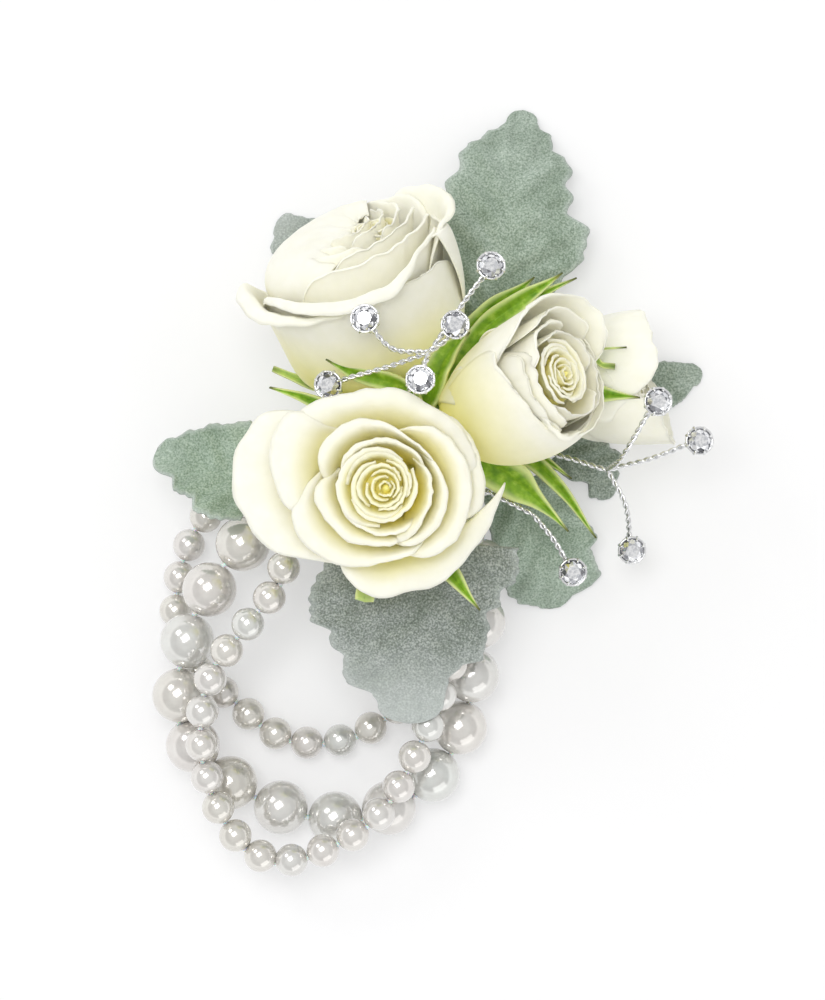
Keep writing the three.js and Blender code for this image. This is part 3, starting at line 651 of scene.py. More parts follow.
def petal(
    shape, rose, turn, rims, crest, belly, foot,
    droop=0.3, ruffle=0.4, warm=0, seed=0, clear=1, bowl=0, ends=(1, 1), sweep=(0, 0),
    shoulder=0.6, arch=0.08,
):
    """One petal round the rose's axis.

    turn: first and last angle; rims: radius of the rim along it; crest: height of the fold (one or a list);
    belly: radius of the upright part (one or a list); foot: height of the root; droop: fall of the lip for
    its width (one or a list); warm: how far the petal keeps the yellow of the heart; clear: share of its
    height that is tinted; bowl: 0 for a straight cup, 1 for one that narrows to its base, below 0 for a
    full one; ends: how far each end tucks in; sweep: how far the lip runs on round the rose past the rest
    of each end; shoulder: how high the upright part ends; arch: how far the fold rises over the lip.
    """
    start, end = (math.radians(a) for a in turn)
    middle = (start + end) / 2
    crests = crest if isinstance(crest, list) else [crest, crest]
    bellies = belly if isinstance(belly, list) else [belly, belly]
    droops = droop if isinstance(droop, list) else [droop, droop]
    width = (end - start) * max(*bellies, 4)
    root = min(PETAL_ROOT, 0.5 * min(bellies))
    first_sweep, last_sweep = (math.radians(a) for a in sweep)

    def place(s, t):
        spread = 0.45 + 0.55 * smooth(t / 0.8)
        angle = start + (end - start) * s
        belly = smooth_list(bellies, s)
        tuck = ends[s > 0.5] * smooth((abs(2 * s - 1) - 0.5) / 0.5) ** 1.6
        reach = smooth_list(rims, s) + 0.3 * noise.noise(vec(angle * 7, seed, 2))
        reach += (belly * 0.97 - reach) * 0.75 * tuck
        top = smooth_list(crests, s)
        top -= 0.38 * tuck * (top - foot)
        height = top - foot
        lip = top - smooth_list(droops, s) * max(reach - belly, 0)
        line = [
            vec(root, foot),
            vec(belly * (0.95 - 0.25 * bowl), foot + 0.05 * height),
            vec(belly * (1 + 0.15 * bowl), foot + (shoulder - 0.15 * bowl) * height),
            vec(belly + 0.45 * (reach - belly), top + arch * height),
            vec(reach, lip),
        ]
        radius, z = bezier(line, t)
        wave = ruffle * t**3
        radius += wave * noise.noise(vec(angle * 2.3, t * 2, seed))
        z += wave * noise.noise(vec(angle * 3.1 + 7, t * 1.5, seed + 3))
        z += wave * noise.noise(vec(angle * 6, 0, seed))
        swept = (first_sweep * (1 - s) ** 4 - last_sweep * s**4) * (1 - t)
        return rose.around(radius, middle + (angle - middle) * spread + swept, z)

    def value(s, t):
        return {"depth": min(t / clear, 1) * (1 - warm)}

    columns = max(25, int(width / 0.7))
    shape.grid(columns, 28, place, value)


def whorl(shape, rose, count, widest, top, foot, warm, seed, toward, lean=0.22):
    """Rolled heart round a closed core, wider towards one angle; each petal winds further in."""
    inside = widest * (1 - lean) * 0.9
    core = [(0.02, top - 0.5), (0.3, top - 1), (0.6, top - 1.8), (0.9, top - 2.6)]
    for i in range(4, 11):
        tilt = i * math.pi / 20
        core.append((inside * math.sin(tilt), top - 2.8 - 0.3 * inside * (1 - math.cos(tilt))))
    shape.lathe(rose, [*core, (inside * 0.9, foot)][::-1], 28, depth=0.32)
    for i in range(count):
        radius = widest * (1 - 0.94 * i / count)
        at = 137.5 * i + seed * 40
        rims = []
        for j in range(9):
            off_side = math.radians(at - 100 + 25 * j - toward)
            rims.append(radius * (0.9 + 0.025 * j) * (1 + lean * math.cos(off_side)))
        petal(
            shape, rose, (at - 100, at + 100), rims, top - 0.05 * i, [0.8 * rim for rim in rims], top - 5,
            ruffle=0.3, warm=warm * (0.4 + 0.6 * i / count), seed=seed + i, ends=(0.3, 0.5), droop=0.5,
        )


def flower_piece(name, slot, shape):
    """Piece of a rose, named after the node it replaces."""
    obj = shape.piece(name, "bouquet", slot, PETAL, thickness=PETAL_THICKNESS)
    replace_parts(obj, "rose_" + name)


def petal_piece(name, rose, **facts):
    shape = Shape()
    petal(shape, rose, **facts)
    flower_piece(name, "petal", shape)


def sepal(shape, points, halves, face, blunt=0):
    """Green blade along a bent line, folded at its midrib and pale at the margin; halves: half widths."""
    rows = 36
    path = spaced(centripetal(points), rows)

    def place(s, t):
        i = round(t * rows)
        along = (path[min(i + 1, rows)] - path[max(i - 1, 0)]).normalized()
        across = along.cross(face).normalized()
        out = across.cross(along)
        side = 2 * s - 1
        half = max(smooth_list(halves, t), 0.1)
        half *= 1 + 0.14 * noise.noise(vec(t * 7, side * 1.5, halves[1]))
        fold = -0.45 * half * (1 - abs(side)) ** 1.3
        curl = 0.3 * half * side * noise.noise(vec(t * 3, 5, halves[1]))
        return path[i] + across * (side * half) + out * (fold + curl)

    def value(s, t):
        side = abs(2 * s - 1)
        edge = 0.95 * smooth((side - 0.5) / 0.5)
        return {"margin": max(edge, 0.55 * blunt), "tip": smooth((t - 0.9) / 0.1) * (1 - blunt)}

    shape.grid(15, rows + 1, place, value)


def calyx(name, place, axis, stem, core, sepals):
    """Hip, stem and sepals under a rose; core: height of the column that its petals stand round.

    Each sepal is given as its line, its half widths, the way it looks and how blunt it is.
    """
    axes = Axes(place, axis, vec(1, 0, 0.2))
    shape = Shape()
    profile = [
        (STEM_RADIUS, -HIP_LENGTH), (2.4, -HIP_LENGTH + 0.5), (3.5, -3), (HIP_RADIUS, -1.7),
        (HIP_RADIUS, -0.8), (HIP_RADIUS - 0.5, 0), (CORE_RADIUS + 0.4, 0.1), (CORE_RADIUS, 0.5),
        (CORE_RADIUS, core - 0.3), (CORE_RADIUS - 0.3, core), (0.02, core),
    ]
    shape.lathe(axes, profile, 28, margin=0.15)
    path = spaced(centripetal([axes.at(0, 0, 0.6 - HIP_LENGTH), *stem]), 24)
    shape.tube(path, STEM_RADIUS, 16, margin=0.1)
    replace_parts(shape.piece(name, "bouquet", "calyx", CALYX), "rose_" + name)
    blades = Shape()
    for blade in sepals:
        sepal(blades, *blade)
    blades.piece(name + "_sepals", "bouquet", "calyx", CALYX, thickness=SEPAL_THICKNESS)


UP = vec(0, 0, 1)
RIGHT = vec(1, 0, 0)
IMAGE_UP = vec(0, 1, 0)


def front_rose():
    """The open rose that faces the camera."""
    rose = Axes(vec(2.1, 3.42, 22), vec(0.0174, -0.032, 1), RIGHT)
    petal_piece(
        "front_petal_5", rose, turn=(128, 240), crest=6, belly=14, foot=-5, droop=0.25, ruffle=0.9, seed=5,
        rims=[22, 23.8, 25.2, 26.2, 27.2, 27.2, 26.8, 25.4, 24.4, 22.6, 19.6, 18, 17], clear=0.8,
        ends=(1, 0.6),
    )
    petal_piece(
        "front_petal_3", rose, turn=(-14, 153), crest=10.4, belly=10.4, foot=-4, droop=0.36, ruffle=0.7,
        rims=[17, 17.3, 17, 16.6, 16.6, 16.5, 17, 17.4, 17.6, 18.8, 20.6, 22.4], seed=4, ends=(1, 0.15),
        sweep=(0, 40),
    )
    petal_piece(
        "front_petal_4", rose, turn=(-140, 2), crest=[8.5, 8.5, 8, 7.6, 9], belly=12.6, foot=-4, droop=0.3,
        rims=[14.5, 16, 18.4, 19.5, 18.8, 19.4, 19, 19.2, 19.8, 21.6], ruffle=0.7, seed=3, ends=(1, 0.1),
        sweep=(0, 70),
    )
    petal_piece(
        "front_petal_2", rose, turn=(126, 206), crest=11, belly=11.4, foot=-3,
        rims=[20, 21.4, 21.8, 20.9, 19.4, 18, 17], droop=0.35, ruffle=0.6, seed=2,
    )
    petal_piece(
        "front_petal_1", rose, turn=(-88, 86), crest=12, belly=9.8, foot=-2, droop=0.35, ruffle=0.5, seed=1,
        rims=[14.4, 14.4, 14.8, 15, 15, 14.8, 14.3, 13.6, 12.4, 11], warm=0.04,
    )
    heart = Shape()
    inner = [  # turn, rims, crest, belly, foot, warm
        ((-34, 76), [16.5, 16.8, 17.4, 17.2, 17, 16, 15], 9.4, 11.6, -3.6, 0),
        ((162, 324), [15.4, 16.6, 17.4, 17.2, 16.2, 14.6, 13, 12.4, 12.1, 12], 11.5, 10.4, -2.6, 0.02),
        ((4, 184), [10, 9.6, 9.3, 9.8, 11.5, 13.2, 13.4, 13.8, 14.4], 13, 8.6, -1.6, 0.06),
        ((-94, 54), [11.2, 11.3, 11.2, 11.1, 10.8, 10.2, 9.4, 9.5], 13, 8, -1.2, 0.08),
        ((158, 306), [13.7, 13, 12, 11.4, 10.4, 10, 10], 12.8, 7.8, -1.0, 0.08),
        ((14, 172), [8, 8, 8.2, 8.6, 9.2, 9.4, 9.4], 13.4, 7.2, 4, 0.12),
        ((-78, 48), [10.4, 9, 8.2, 7.9, 7.8, 7.8], 13.4, 6.8, 5, 0.12),
        ((180, 322), [9.2, 8.8, 8.4, 8.2, 8.2, 8.2], 13.3, 6.9, 5, 0.12),
    ]
    for i, (turn, rims, crest, belly, foot, warm) in enumerate(inner):
        ends = (0.2, 1) if i == 6 else (1, 1)
        petal(heart, rose, turn, rims, crest, belly, foot, warm=warm, seed=11 + i, droop=0.4, ends=ends)
    whorl(heart, rose, 11, 7, 13.6, 0, 0.4, 31, toward=165)
    flower_piece("front_heart", "rose_heart", heart)
    calyx(
        "front_calyx", vec(2, 3.6, 16.5), rose.z, [(2, 4.6, 9), (2, 5.8, 5.1)], 7,
        [
            ([(4.5, 0.8, 16), (7.3, -3.1, 17.8), (10.2, -6.9, 20.2), (14.5, -13.2, 23.8), (18.7, -18.5, 26)],
             [1.4, 2.2, 1.6, 0.1], UP),
            ([(1, 0, 15.6), (0.4, -3.6, 17), (0, -6.7, 19.4), (-0.8, -11.8, 22.6), (-1.6, -16.8, 24.8)],
             [1.4, 2, 1.9, 1.6], UP, 1),
            ([(0, 7, 15.5), (-5, 12, 12.8), (-8, 19, 13)], [1.6, 2.4, 0.1], UP),
            ([(-1.6, 3.6, 15.5), (-8, 3, 12.8), (-15, 4, 13)], [1.6, 2.4, 0.1], UP),
        ],
    )


def left_rose():
    """The rose at the upper left, seen from its side."""
    rose = Axes(vec(0.81, 23.97, 1.59), vec(-0.23, 0.9, 0.37), RIGHT)
    petal_piece(
        "left_petal_4", rose, turn=(330, 414), belly=20.8, foot=-3.6, bowl=-0.2, ruffle=0.4, seed=4,
        crest=[26.4, 26, 25, 24.4, 24, 22], rims=[18.6, 18.4, 17.4, 17, 17, 17], clear=0.55, ends=(0, 1),
        sweep=(22, 0),
    )
    petal_piece(
        "left_petal_3", rose, turn=(140, 376), foot=-2.4, bowl=-0.5, ruffle=0.5, seed=3, clear=0.72,
        belly=[17, 16.8, 17, 17.8, 18.4, 18.8], droop=[0.5, 0.8, 0.9, 1, 1, 0.7, 0.5, 0.5, 0.5],
        crest=[22, 25, 25.4, 23, 20.8, 20, 20.4, 21, 22.4, 23.6],
        rims=[19, 20.9, 21.8, 21.2, 19.6, 18.4, 18, 18, 18, 18],
    )
    petal_piece(
        "left_petal_2", rose, turn=(10, 190), belly=14.8, foot=-1.2,
        crest=[28.2, 28.6, 27.4, 25.5, 23.5, 21.5, 20], rims=[20, 18, 16.4, 15.6, 15.4, 15.6, 16], droop=0.25,
        ruffle=0.6, seed=2, clear=0.3,
    )
    petal_piece(
        "left_petal_1", rose, turn=(176, 380), belly=15.6, foot=0,
        crest=[24, 24.4, 24.6, 24.8, 25.4, 26.6, 28, 28.6], rims=[18, 18.6, 19.6, 21.2, 21, 17.8, 17.2, 17.6],
        droop=[0.6, 0.9, 0.9, 0.85, 0.85, 0.8, 0.6, 0.5], ruffle=0.6, seed=1, clear=0.35,
    )
    heart = Shape()
    lid = Axes(rose.at(5, 0, 0), rose.z, RIGHT)
    petal(
        heart, lid, (92, 236), [4.5, 4, 3, 2.8, 4.6, 9], [28.3, 28.2, 27.4, 26.8, 25.6, 24],
        [15.6, 19.5, 25, 27, 24.5, 19], 10, seed=20, clear=0.5, ruffle=0.3, ends=(0, 0), shoulder=0.88,
        arch=0.3,
    )
    inner = [  # turn, rims, crest, belly, foot, ruffle
        ((318, 440), [17.6, 19.4, 20.6, 20.8, 19.6, 18], [26, 28, 29, 29.6, 29.2, 28.4], 15.6, 0.2, 0.6),
        ((215, 392), [16.2, 15.6, 15.2, 15.2, 15.8, 16.6], [25.4, 25.8, 26.4, 27.4, 28.4, 29.2], 13.8,
         0.8, 0.5),
        ((236, 396), [13.4, 12.6, 12, 12.4, 13, 14], [26.4, 27, 27.8, 28.6, 29.4, 30], 11.6, 1, 0.5),
        ((-70, 98), [9.6, 9.8, 10.4, 10.6, 10.4, 10], [28.2, 28.8, 29.4, 29.6, 29, 27.6], 9.4, 1.2, 0.6),
        ((250, 448), [6.6, 6.8, 7.4, 7.8, 7.6, 7.4], [27.8, 28.4, 29, 29.4, 28.8, 27.4], 7, 1.4, 0.6),
        ((190, 440), [4.4, 4.2, 4.4, 4.8, 5, 5], [27.4, 27.8, 28.2, 28.8, 28.8, 27.4], 4.6, 1.6, 0.4),
        ((150, 300), [7, 6.6, 6.6, 7], [26.6, 26.8, 27.2, 27.8], 7.4, 1.6, 0.3),
        ((160, 320), [9.6, 9.2, 9, 9.4], [26, 26.2, 26.8, 27.6], 10, 1.6, 0.3),
    ]
    for i, (turn, rims, crest, belly, foot, ruffle) in enumerate(inner):
        petal(heart, rose, turn, rims, crest, belly, foot, seed=21 + i, warm=0.05, clear=0.5, ruffle=ruffle)
    whorl(heart, lid, 6, 4.4, 28, 2, 0.2, 41, toward=0)
    flower_piece("left_heart", "rose_heart", heart)
    calyx(
        "left_calyx", vec(1.8, 20.1, 0), rose.z, [(0, 14, 0.2), (-1, 10.9, 0)], 6,
        [
            ([(3.2, 19.4, 4), (7, 18.6, 13), (4, 21.4, 17.6), (-3.2, 23.4, 18.2), (-8.6, 26, 18)],
             [1.2, 1.6, 1.7, 1.5, 0.2], vec(0, -0.3, 1)),
            ([(0, 19.5, 2), (-8, 17.8, 8), (-14.3, 19.9, 8.4), (-19, 21.2, 7)],
             [1.2, 1.5, 1, 0.15], vec(0, -0.2, 1)),
            ([(-1.5, 20.5, 0), (-10, 21.6, 1), (-18.6, 24.8, 1.5)], [1, 1.2, 0.9, 0.5], UP, 0.6),
            ([(3, 20.6, -3.6), (5, 22, -11), (4, 31, -11.6)], [1.4, 2.4, 0.1], vec(0, 0.3, -1)),
        ],
    )


def right_rose():
    """The half-open rose at the right, turned towards the camera."""
    rose = Axes(vec(14.5, 15.6, 11.3), vec(0.743, 0.291, 0.6025), IMAGE_UP)
    petal_piece(
        "right_petal_3", rose, turn=(66, 274), belly=[10.8, 12, 13.6, 13.7, 13.4], foot=-0.8, bowl=1,
        crest=[22, 23, 23.2, 23.2, 23, 22], rims=[12.6, 11.4, 10.6, 10.4, 10.6, 11], droop=0.6,
        ruffle=0.4, seed=3, clear=1, ends=(0.2, 0.4), sweep=(-45, 0),
    )
    petal_piece(
        "right_petal_2", rose, turn=(-100, 90), belly=[12.5, 12.5, 11.8, 10.2], foot=-0.4, bowl=1, droop=0.5,
        crest=[25, 29, 29.6, 27.5, 25, 23], rims=[11, 13.2, 14.4, 14, 12.8, 11.4], ruffle=0.9, seed=2,
        clear=0.75, sweep=(0, -30),
    )
    petal_piece(
        "right_petal_1", rose, turn=(190, 372), belly=12.2, foot=0, bowl=1,
        crest=[22.5, 23.5, 24.5, 25.5, 26], rims=[10, 10.6, 11.2, 11.6, 11.4], droop=0.5, ruffle=0.7, seed=1,
        clear=0.38,
    )
    heart = Shape()
    inner = [  # turn, rims, crest, belly, foot, ruffle
        ((44, 190), [10.6, 10.2, 10, 10, 10.4, 10], [25.6, 25.2, 25, 24.8, 24.6, 24.4], [9.2, 9.8, 10.8],
         0.6, 0.6),
        ((170, 330), [10.8, 11, 11, 10.8], [24.6, 25, 25.4, 26], 11.2, 0.8, 0.6),
        ((290, 424), [10.6, 11.4, 11.6, 11, 9.8], [27.4, 28.4, 28.4, 27.6, 26.6], 10.6, 1, 0.7),
        ((124, 206), [9.6, 11, 12, 11.2, 9.6], [25.6, 25.8, 26, 25.8, 25.4], 9.2, 1.2, 0.6),
        ((40, 190), [9.4, 9, 8.8, 9, 9.2], 26, 9.4, 1.2, 0.6),
        ((200, 345), [9, 9.2, 9.2, 9], 26.2, 8.8, 1.4, 0.6),
        ((320, 470), [9, 9.8, 9.6, 8.6], 27.6, 8.4, 2, 0.6),
        ((110, 275), [7.6, 7.8, 8, 7.8], 26.6, 7.4, 6, 0.5),
        ((255, 425), [7.2, 7.6, 7.6, 7.2], 27, 7, 6, 0.5),
    ]
    for i, (turn, rims, crest, belly, foot, ruffle) in enumerate(inner):
        petal(
            heart, rose, turn, rims, crest, belly, foot, seed=51 + i, warm=0.08, clear=0.6, ruffle=ruffle,
            droop=0.7, bowl=0.9,
        )
    whorl(heart, rose, 10, 6.2, 26.8, 2, 0.25, 61, toward=90)
    flower_piece("right_heart", "rose_heart", heart)
    calyx(
        "right_calyx", vec(11.8, 15.4, 9.4), rose.z, [(6.2, 12.7, 4.6), (5.4, 10.135, 2.805)], 4.5,
        [
            ([(10.9, 19.2, 8.7), (14.6, 27, 4), (20, 33.6, 3.4), (29, 41.4, 3)],
             [1.4, 2.2, 2.4, 0.1], UP),
            ([(11.8, 19.2, 8), (19, 31, 5), (26, 36.6, 5.4), (34, 42, 6)], [1.2, 1.8, 2, 0.1], UP),
            ([(13, 19, 7), (25, 35, 3), (31, 38.6, 3.4), (36.6, 41.2, 4)], [1, 1.2, 1.2, 0.1], UP),
            ([(9, 16.6, 10.4), (10.4, 22, 15), (12.6, 27, 15.4), (17, 31, 14)],
             [1.6, 2.5, 2.3, 0.1], vec(-0.6, 0, 1)),
            ([(12.4, 11.9, 10), (19.6, 7.6, 11), (27, 2.6, 9), (31.6, -1.2, 8), (35, -4.8, 7)],
             [2.2, 3.6, 3.6, 1.3, 0.1], vec(0, -0.4, 1)),
            ([(13.6, 12.2, 7.6), (26, 9.6, 4.6), (33, 3.8, 4), (40.2, -6, 3)], [1, 1.6, 1.2, 0.1], UP),
            ([(14, 13, 6.6), (28, 10, 2.4), (35.8, 4.8, 2)], [0.9, 1.2, 0.1], UP),
        ],
    )


def rear_rose():
    """The bud behind the right rose."""
    rose = Axes(vec(31, 20.9, -1.2), vec(0.97, 0.13, 0.16), IMAGE_UP)
    petal_piece(
        "rear_petal_1", rose, turn=(-70, 128), belly=12.4, foot=-0.4, bowl=0.4, ruffle=0.6, seed=1, clear=0.3,
        crest=[17, 18, 19.5, 21.5, 22, 20], rims=[12, 12.2, 12, 11.6, 11.8, 12],
    )
    heart = Shape()
    inner = [  # turn, rims, crest, belly, foot
        ((84, 300), [12, 12, 12.6, 13, 12.4, 11.6], [21, 21.5, 22, 21.6, 20, 18], 12, -0.2),
        ((0, 180), [9, 9.4, 9.6, 9.2], 18, 10.8, 0.4),
        ((180, 360), [8, 8, 8, 8], 18, 10, 0.6),
        ((90, 260), [6, 6, 6, 6.4], 18.4, 8.6, 0.8),
        ((270, 430), [5, 5, 5, 5.4], 18.4, 7.2, 1),
    ]
    for i, (turn, rims, crest, belly, foot) in enumerate(inner):
        petal(heart, rose, turn, rims, crest, belly, foot, seed=71 + i, warm=0.04, clear=0.35, bowl=0.4)
    whorl(heart, rose, 6, 5, 18.2, 2, 0.2, 81, toward=0)
    flower_piece("rear_heart", "rose_heart", heart)
    calyx(
        "rear_calyx", vec(29.3, 20.7, -1.5), rose.z, [(19, 12, -3), (8.1, 8, -1.8)], 3,
        [
            ([(29.6, 22.6, 2.2), (31.4, 25, 11), (38, 27.6, 12.6), (45.2, 28.3, 13.4)],
             [1, 1.2, 0.7, 0.3, 0.1], UP),
            ([(29.8, 21.2, 2.6), (31, 24, 12), (38.6, 27.4, 13.2), (40.6, 25.2, 14), (43, 24.8, 14.8)],
             [1, 1.2, 0.8, 0.5, 0.5], UP, 0.5),
            ([(29.8, 19.4, 2.6), (31, 19.6, 11.4), (38, 20, 13.2), (47.6, 19.3, 13.4)],
             [1.2, 2.6, 3.4, 1.4, 0.1], UP),
            ([(29, 20, -5.4), (32, 17, -11.2), (42, 17, -11.8)], [1.2, 2, 0.1], vec(0, 0, -1)),
        ],
    )


front_rose()
left_rose()
right_rose()
rear_rose()


# Leaves. plus and minus: margins to the right and left of the way from base to tip, as pairs of
# (way along, half width); green: how much of the leaf's own green shows through the felt; pale: how far the
# leaf is painted lighter towards the tip, painted light that leaves its base near the roses darker as painted
# shade;
# cup: how far the margins rise or hang, as a share of the half width.

LEAVES = {
    "top": dict(
        base=vec(21.4, 32.1, -6), tip=vec(27.4, 72.8, -12.4), face=vec(0, 0.1, 1), arch=4, veins=6, green=0.6,
        plus=[(0, 5), (10, 11.2), (15, 14.8), (20.3, 15), (22.8, 10.4), (26, 11.3), (27.9, 9.5), (30.4, 10.6),
              (33, 8.8), (34, 6.2), (37, 5.8), (38.2, 3.4), (39.4, 2.8), (41.1, 0)],
        minus=[(0, 6), (12, 11.5), (25, 12.2), (28.5, 10), (30.8, 10.5), (33.2, 9.4), (34.3, 7), (36, 6.2),
               (36.8, 4.2), (38.9, 2.9), (41.1, 0)],
        stalk=[(16, 20, -5), (6, 10.1, -3.06)],
    ),
    "left": dict(
        base=vec(-21.5, 3.4, 3), tip=vec(-40, 9.1, -1), face=vec(0, 0.2, 1), arch=1.5, veins=4, green=0.8,
        cup=0.36,
        plus=[(0, 8), (4, 10), (9.5, 8), (13.9, 5.7), (17, 3.6), (19.4, 0)],
        minus=[(0, 7.4), (4.3, 8.6), (8.2, 8.4), (9.5, 6), (13, 5.9), (14.7, 3.2), (16.9, 3.2), (19.4, 0)],
        stalk=[(-16, 6.5, 3), (-8.1, 6.3, 2)],
    ),
    "low": dict(
        base=vec(9, -6.5, 13.4), tip=vec(6, -39.3, 4.5), face=vec(0, -0.2, 1), arch=2, veins=5, green=0,
        pale=0.6,
        plus=[(0, 12), (8, 18.6), (11.6, 19.8), (16, 19.1), (17.6, 15.4), (19.5, 15.2), (22.1, 12.7),
              (24.6, 12.6), (26.7, 11.6), (28.6, 6.8), (30.7, 5.6), (33.4, 0)],
        minus=[(0, 17), (5.5, 17.2), (8.3, 13.9), (10, 14.8), (11.6, 12.1), (14.4, 12.9), (20, 12.4),
               (21.8, 8.7), (24.4, 6.4), (28.9, 6.2), (33.4, 0)],
        stalk=[(9.5, -1.6, 13.4)],
    ),
    "low_right": dict(
        base=vec(25, 3.5, -4.5), tip=vec(34, -18.6, -12.4), face=UP, arch=1.5, veins=4, green=0.75,
        plus=[(0, 5.6), (8, 7), (14, 7.6), (18.4, 8), (20.4, 6.9), (21.6, 5), (22.6, 3.6), (24, 0)],
        minus=[(0, 6), (8, 10), (14.5, 11), (15.9, 9.3), (21.4, 9.2), (22.6, 7.4), (23.2, 2.6), (24, 0)],
        stalk=[(18, 5, -3.8), (8.1, 5, -2.4)],
    ),
    "under": dict(
        base=vec(34, 10.1, -10), tip=vec(43.7, 1.8, -12.4), face=UP, arch=0.5, veins=3, green=0.3,
        plus=[(0, 3.4), (4.4, 3), (8, 1.2), (9.8, 3), (11.2, 2.2), (12.8, 0)],
        minus=[(0, 4), (6.6, 6.6), (9.4, 6.8), (10.2, 4), (11.2, 4.2), (11.9, 2), (12.8, 0)],
        stalk=[(22, 11, -9.5), (10, 6, -9), (4.4, 4.4, -8.4), (1.8, 4.8, -5.1)],
    ),
    "right": dict(
        base=vec(48.7, 22.1, -11.8), tip=vec(60.2, 24.5, -12.4), face=UP, arch=0.3, veins=3, green=0.5,
        plus=[(0, 5.2), (5.2, 5.2), (6.9, 4.5), (10.4, 2.2), (11.8, 0)],
        minus=[(0, 3.9), (5.6, 3.3), (10.1, 2.1), (11.8, 0)],
        stalk=[(30, 19, -11.8), (14, 13, -10), (5, 9.6, -8), (0.2, 7, -5.1)],
    ),
    "upper_left": dict(
        base=vec(-8.3, 43.2, -11.8), tip=vec(-17, 53.5, -12.4), face=UP, arch=0.3, veins=3, green=0.1,
        pale=0.5,
        plus=[(0, 4.4), (7.3, 4.7), (8.7, 4.5), (10.9, 2.6), (12.8, 1.4), (13.5, 0)],
        minus=[(0, 5.6), (5, 6.6), (10, 6), (11.9, 3.7), (13.5, 0)],
        stalk=[(-3, 28, -11.8), (-2, 16, -9), (-1.8, 5.8, -5.1)],
    ),
}
LEAF_STUB = [(9.6, -1, 13.4), (9.4, 5, 12), (9.4, 7.6, 6), (6.4, 6.6, 2.4)]
VEIN_SLANT = 0.28
QUILT_DEPTH = 0.42
GROOVE_DEPTH = 0.45
GROOVE_WIDTH = 0.9
MARGIN_HANG = -0.06


def half_width(margin, way):
    """Half width of a leaf: rounded between its lobes and notches, round at the tip."""
    for (a, wide), (b, next_wide) in zip(margin, margin[1:]):
        if way <= b:
            share = (way - a) / (b - a)
            if next_wide == 0:
                return wide * math.sqrt(max(1 - share * share, 0))
            return wide + (next_wide - wide) * smooth(share)
    return 0


def leaf(name, body):
    facts = LEAVES[name]
    base = facts["base"]
    tip = facts["tip"]
    along = (tip - base).normalized()
    across = along.cross(facts["face"]).normalized()
    out = across.cross(along)
    length = (tip - base).length
    seed = len(name) * 3.7

    def place(s, t):
        side = 2 * s - 1
        margin = facts["plus"] if side > 0 else facts["minus"]
        way = min(margin[-1][0], t * margin[-1][0])
        half = half_width(margin, way)
        half *= 1 + 0.05 * noise.noise(vec(t * 22, (side > 0) * 5, seed))
        rib = math.cos(2 * math.pi * facts["veins"] * (t - VEIN_SLANT * abs(side)))
        cup = facts.get("cup", MARGIN_HANG) * half * side * side
        quilt = -QUILT_DEPTH * rib * smooth(4 * abs(side)) * (1 - side**6) * min(half / 8, 1)
        groove = -GROOVE_DEPTH * math.exp(-((side * half / GROOVE_WIDTH) ** 2)) * (1 - t)
        wave = 0.5 * side * side * min(half / 8, 1) * noise.noise(vec(t * 5, side * 2, seed))
        lift = facts["arch"] * math.sin(math.pi * t) + cup + quilt + groove + wave
        spot = base + along * (length * t) + across * (side * half) + out * lift
        spot.z = max(spot.z, TABLE_Z + LEAF_THICKNESS / 2)
        return spot

    def value(s, t):
        side = abs(2 * s - 1)
        # painted light: the leaf turns paler towards its tip, so its base near the roses reads as shaded; it
        # rides in the margin value with the real pale edge
        pale = facts.get("pale", 0.1) * smooth(t * 1.8 - 0.8)
        edge = 0.35 * smooth((side - 0.88) / 0.12)
        return {"margin": pale + (1 - pale) * edge, "green": facts["green"]}

    blade = Shape()
    blade.grid(41, 110, place, value)
    obj = blade.piece("leaf_blade_" + name, body, "leaf", LEAF, thickness=LEAF_THICKNESS)
    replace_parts(obj, "leaf_" + name)
    stalk = Shape()
    path = spaced(centripetal([base + along * 1.5, *facts["stalk"]], 20), 30)
    stalk.tube(path, STALK_RADIUS, 10, green=0.4)
    stalk.piece("leaf_stalk_" + name, body, "leaf", LEAF)


for leaf_name in LEAVES:
    leaf(leaf_name, "leaf_low" if leaf_name == "low" else "bouquet")


# Rhinestone sprays. stub: wire from the stem bundle to the bend; fork: where the branches part;
# gems: place, way it looks, and the points its wire passes.

SPRAYS = {
    "left": dict(
        stub=[(2, 8, 2.5), (2.8, 13, 10.5), (5.6, 19.4, 18)],
        fork=vec(9.9, 27, 25),
        gems=[
            (vec(-1.5, 32.7, 29.5), vec(-0.1, 0.1, 1), [(3.2, 27.6, 26.5)]),
            (vec(14.3, 31.7, 27), vec(0.1, 0.1, 1), [(13, 29.4, 24.6)]),
            (vec(20.7, 42.3, 23), vec(0.1, 0.2, 1), [(16, 36, 23.6)]),
            (vec(8.2, 21.8, 36.4), vec(0, 0.2, 1), [(9.4, 25.8, 31.6)]),
            (vec(-8, 21.3, 22.5), vec(-0.3, -0.1, 1), [(3, 24.6, 24.6), (-4.6, 22.5, 22)]),
        ],
    ),
    "right": dict(
        stub=[(6, 5, 0.4), (14, 5.4, 0.4), (22.8, 6.4, -0.2), (31, 9.2, -0.6)],
        fork=vec(42.2, 6.4, 3),
        gems=[
            (vec(58.6, 11.6, 7), vec(0.2, 0, 1), [(50, 8.4, 5)]),
            (vec(46.9, -8.2, -2), vec(0.1, -0.2, 1), [(45.6, 0, 1)]),
            (vec(50.4, 18.4, 20), vec(0.2, 0, 1), [(44.4, 8.6, 13)]),
        ],
    ),
    "low": dict(
        stub=[(6, 5, 2), (12, 5, 4.4), (19, 3, 6.5)],
        fork=vec(28.5, -1.6, 7),
        gems=[(vec(35.8, -12.1, 6), vec(0.1, -0.1, 1), [(32.6, -6.6, 5.6)])],
    ),
}


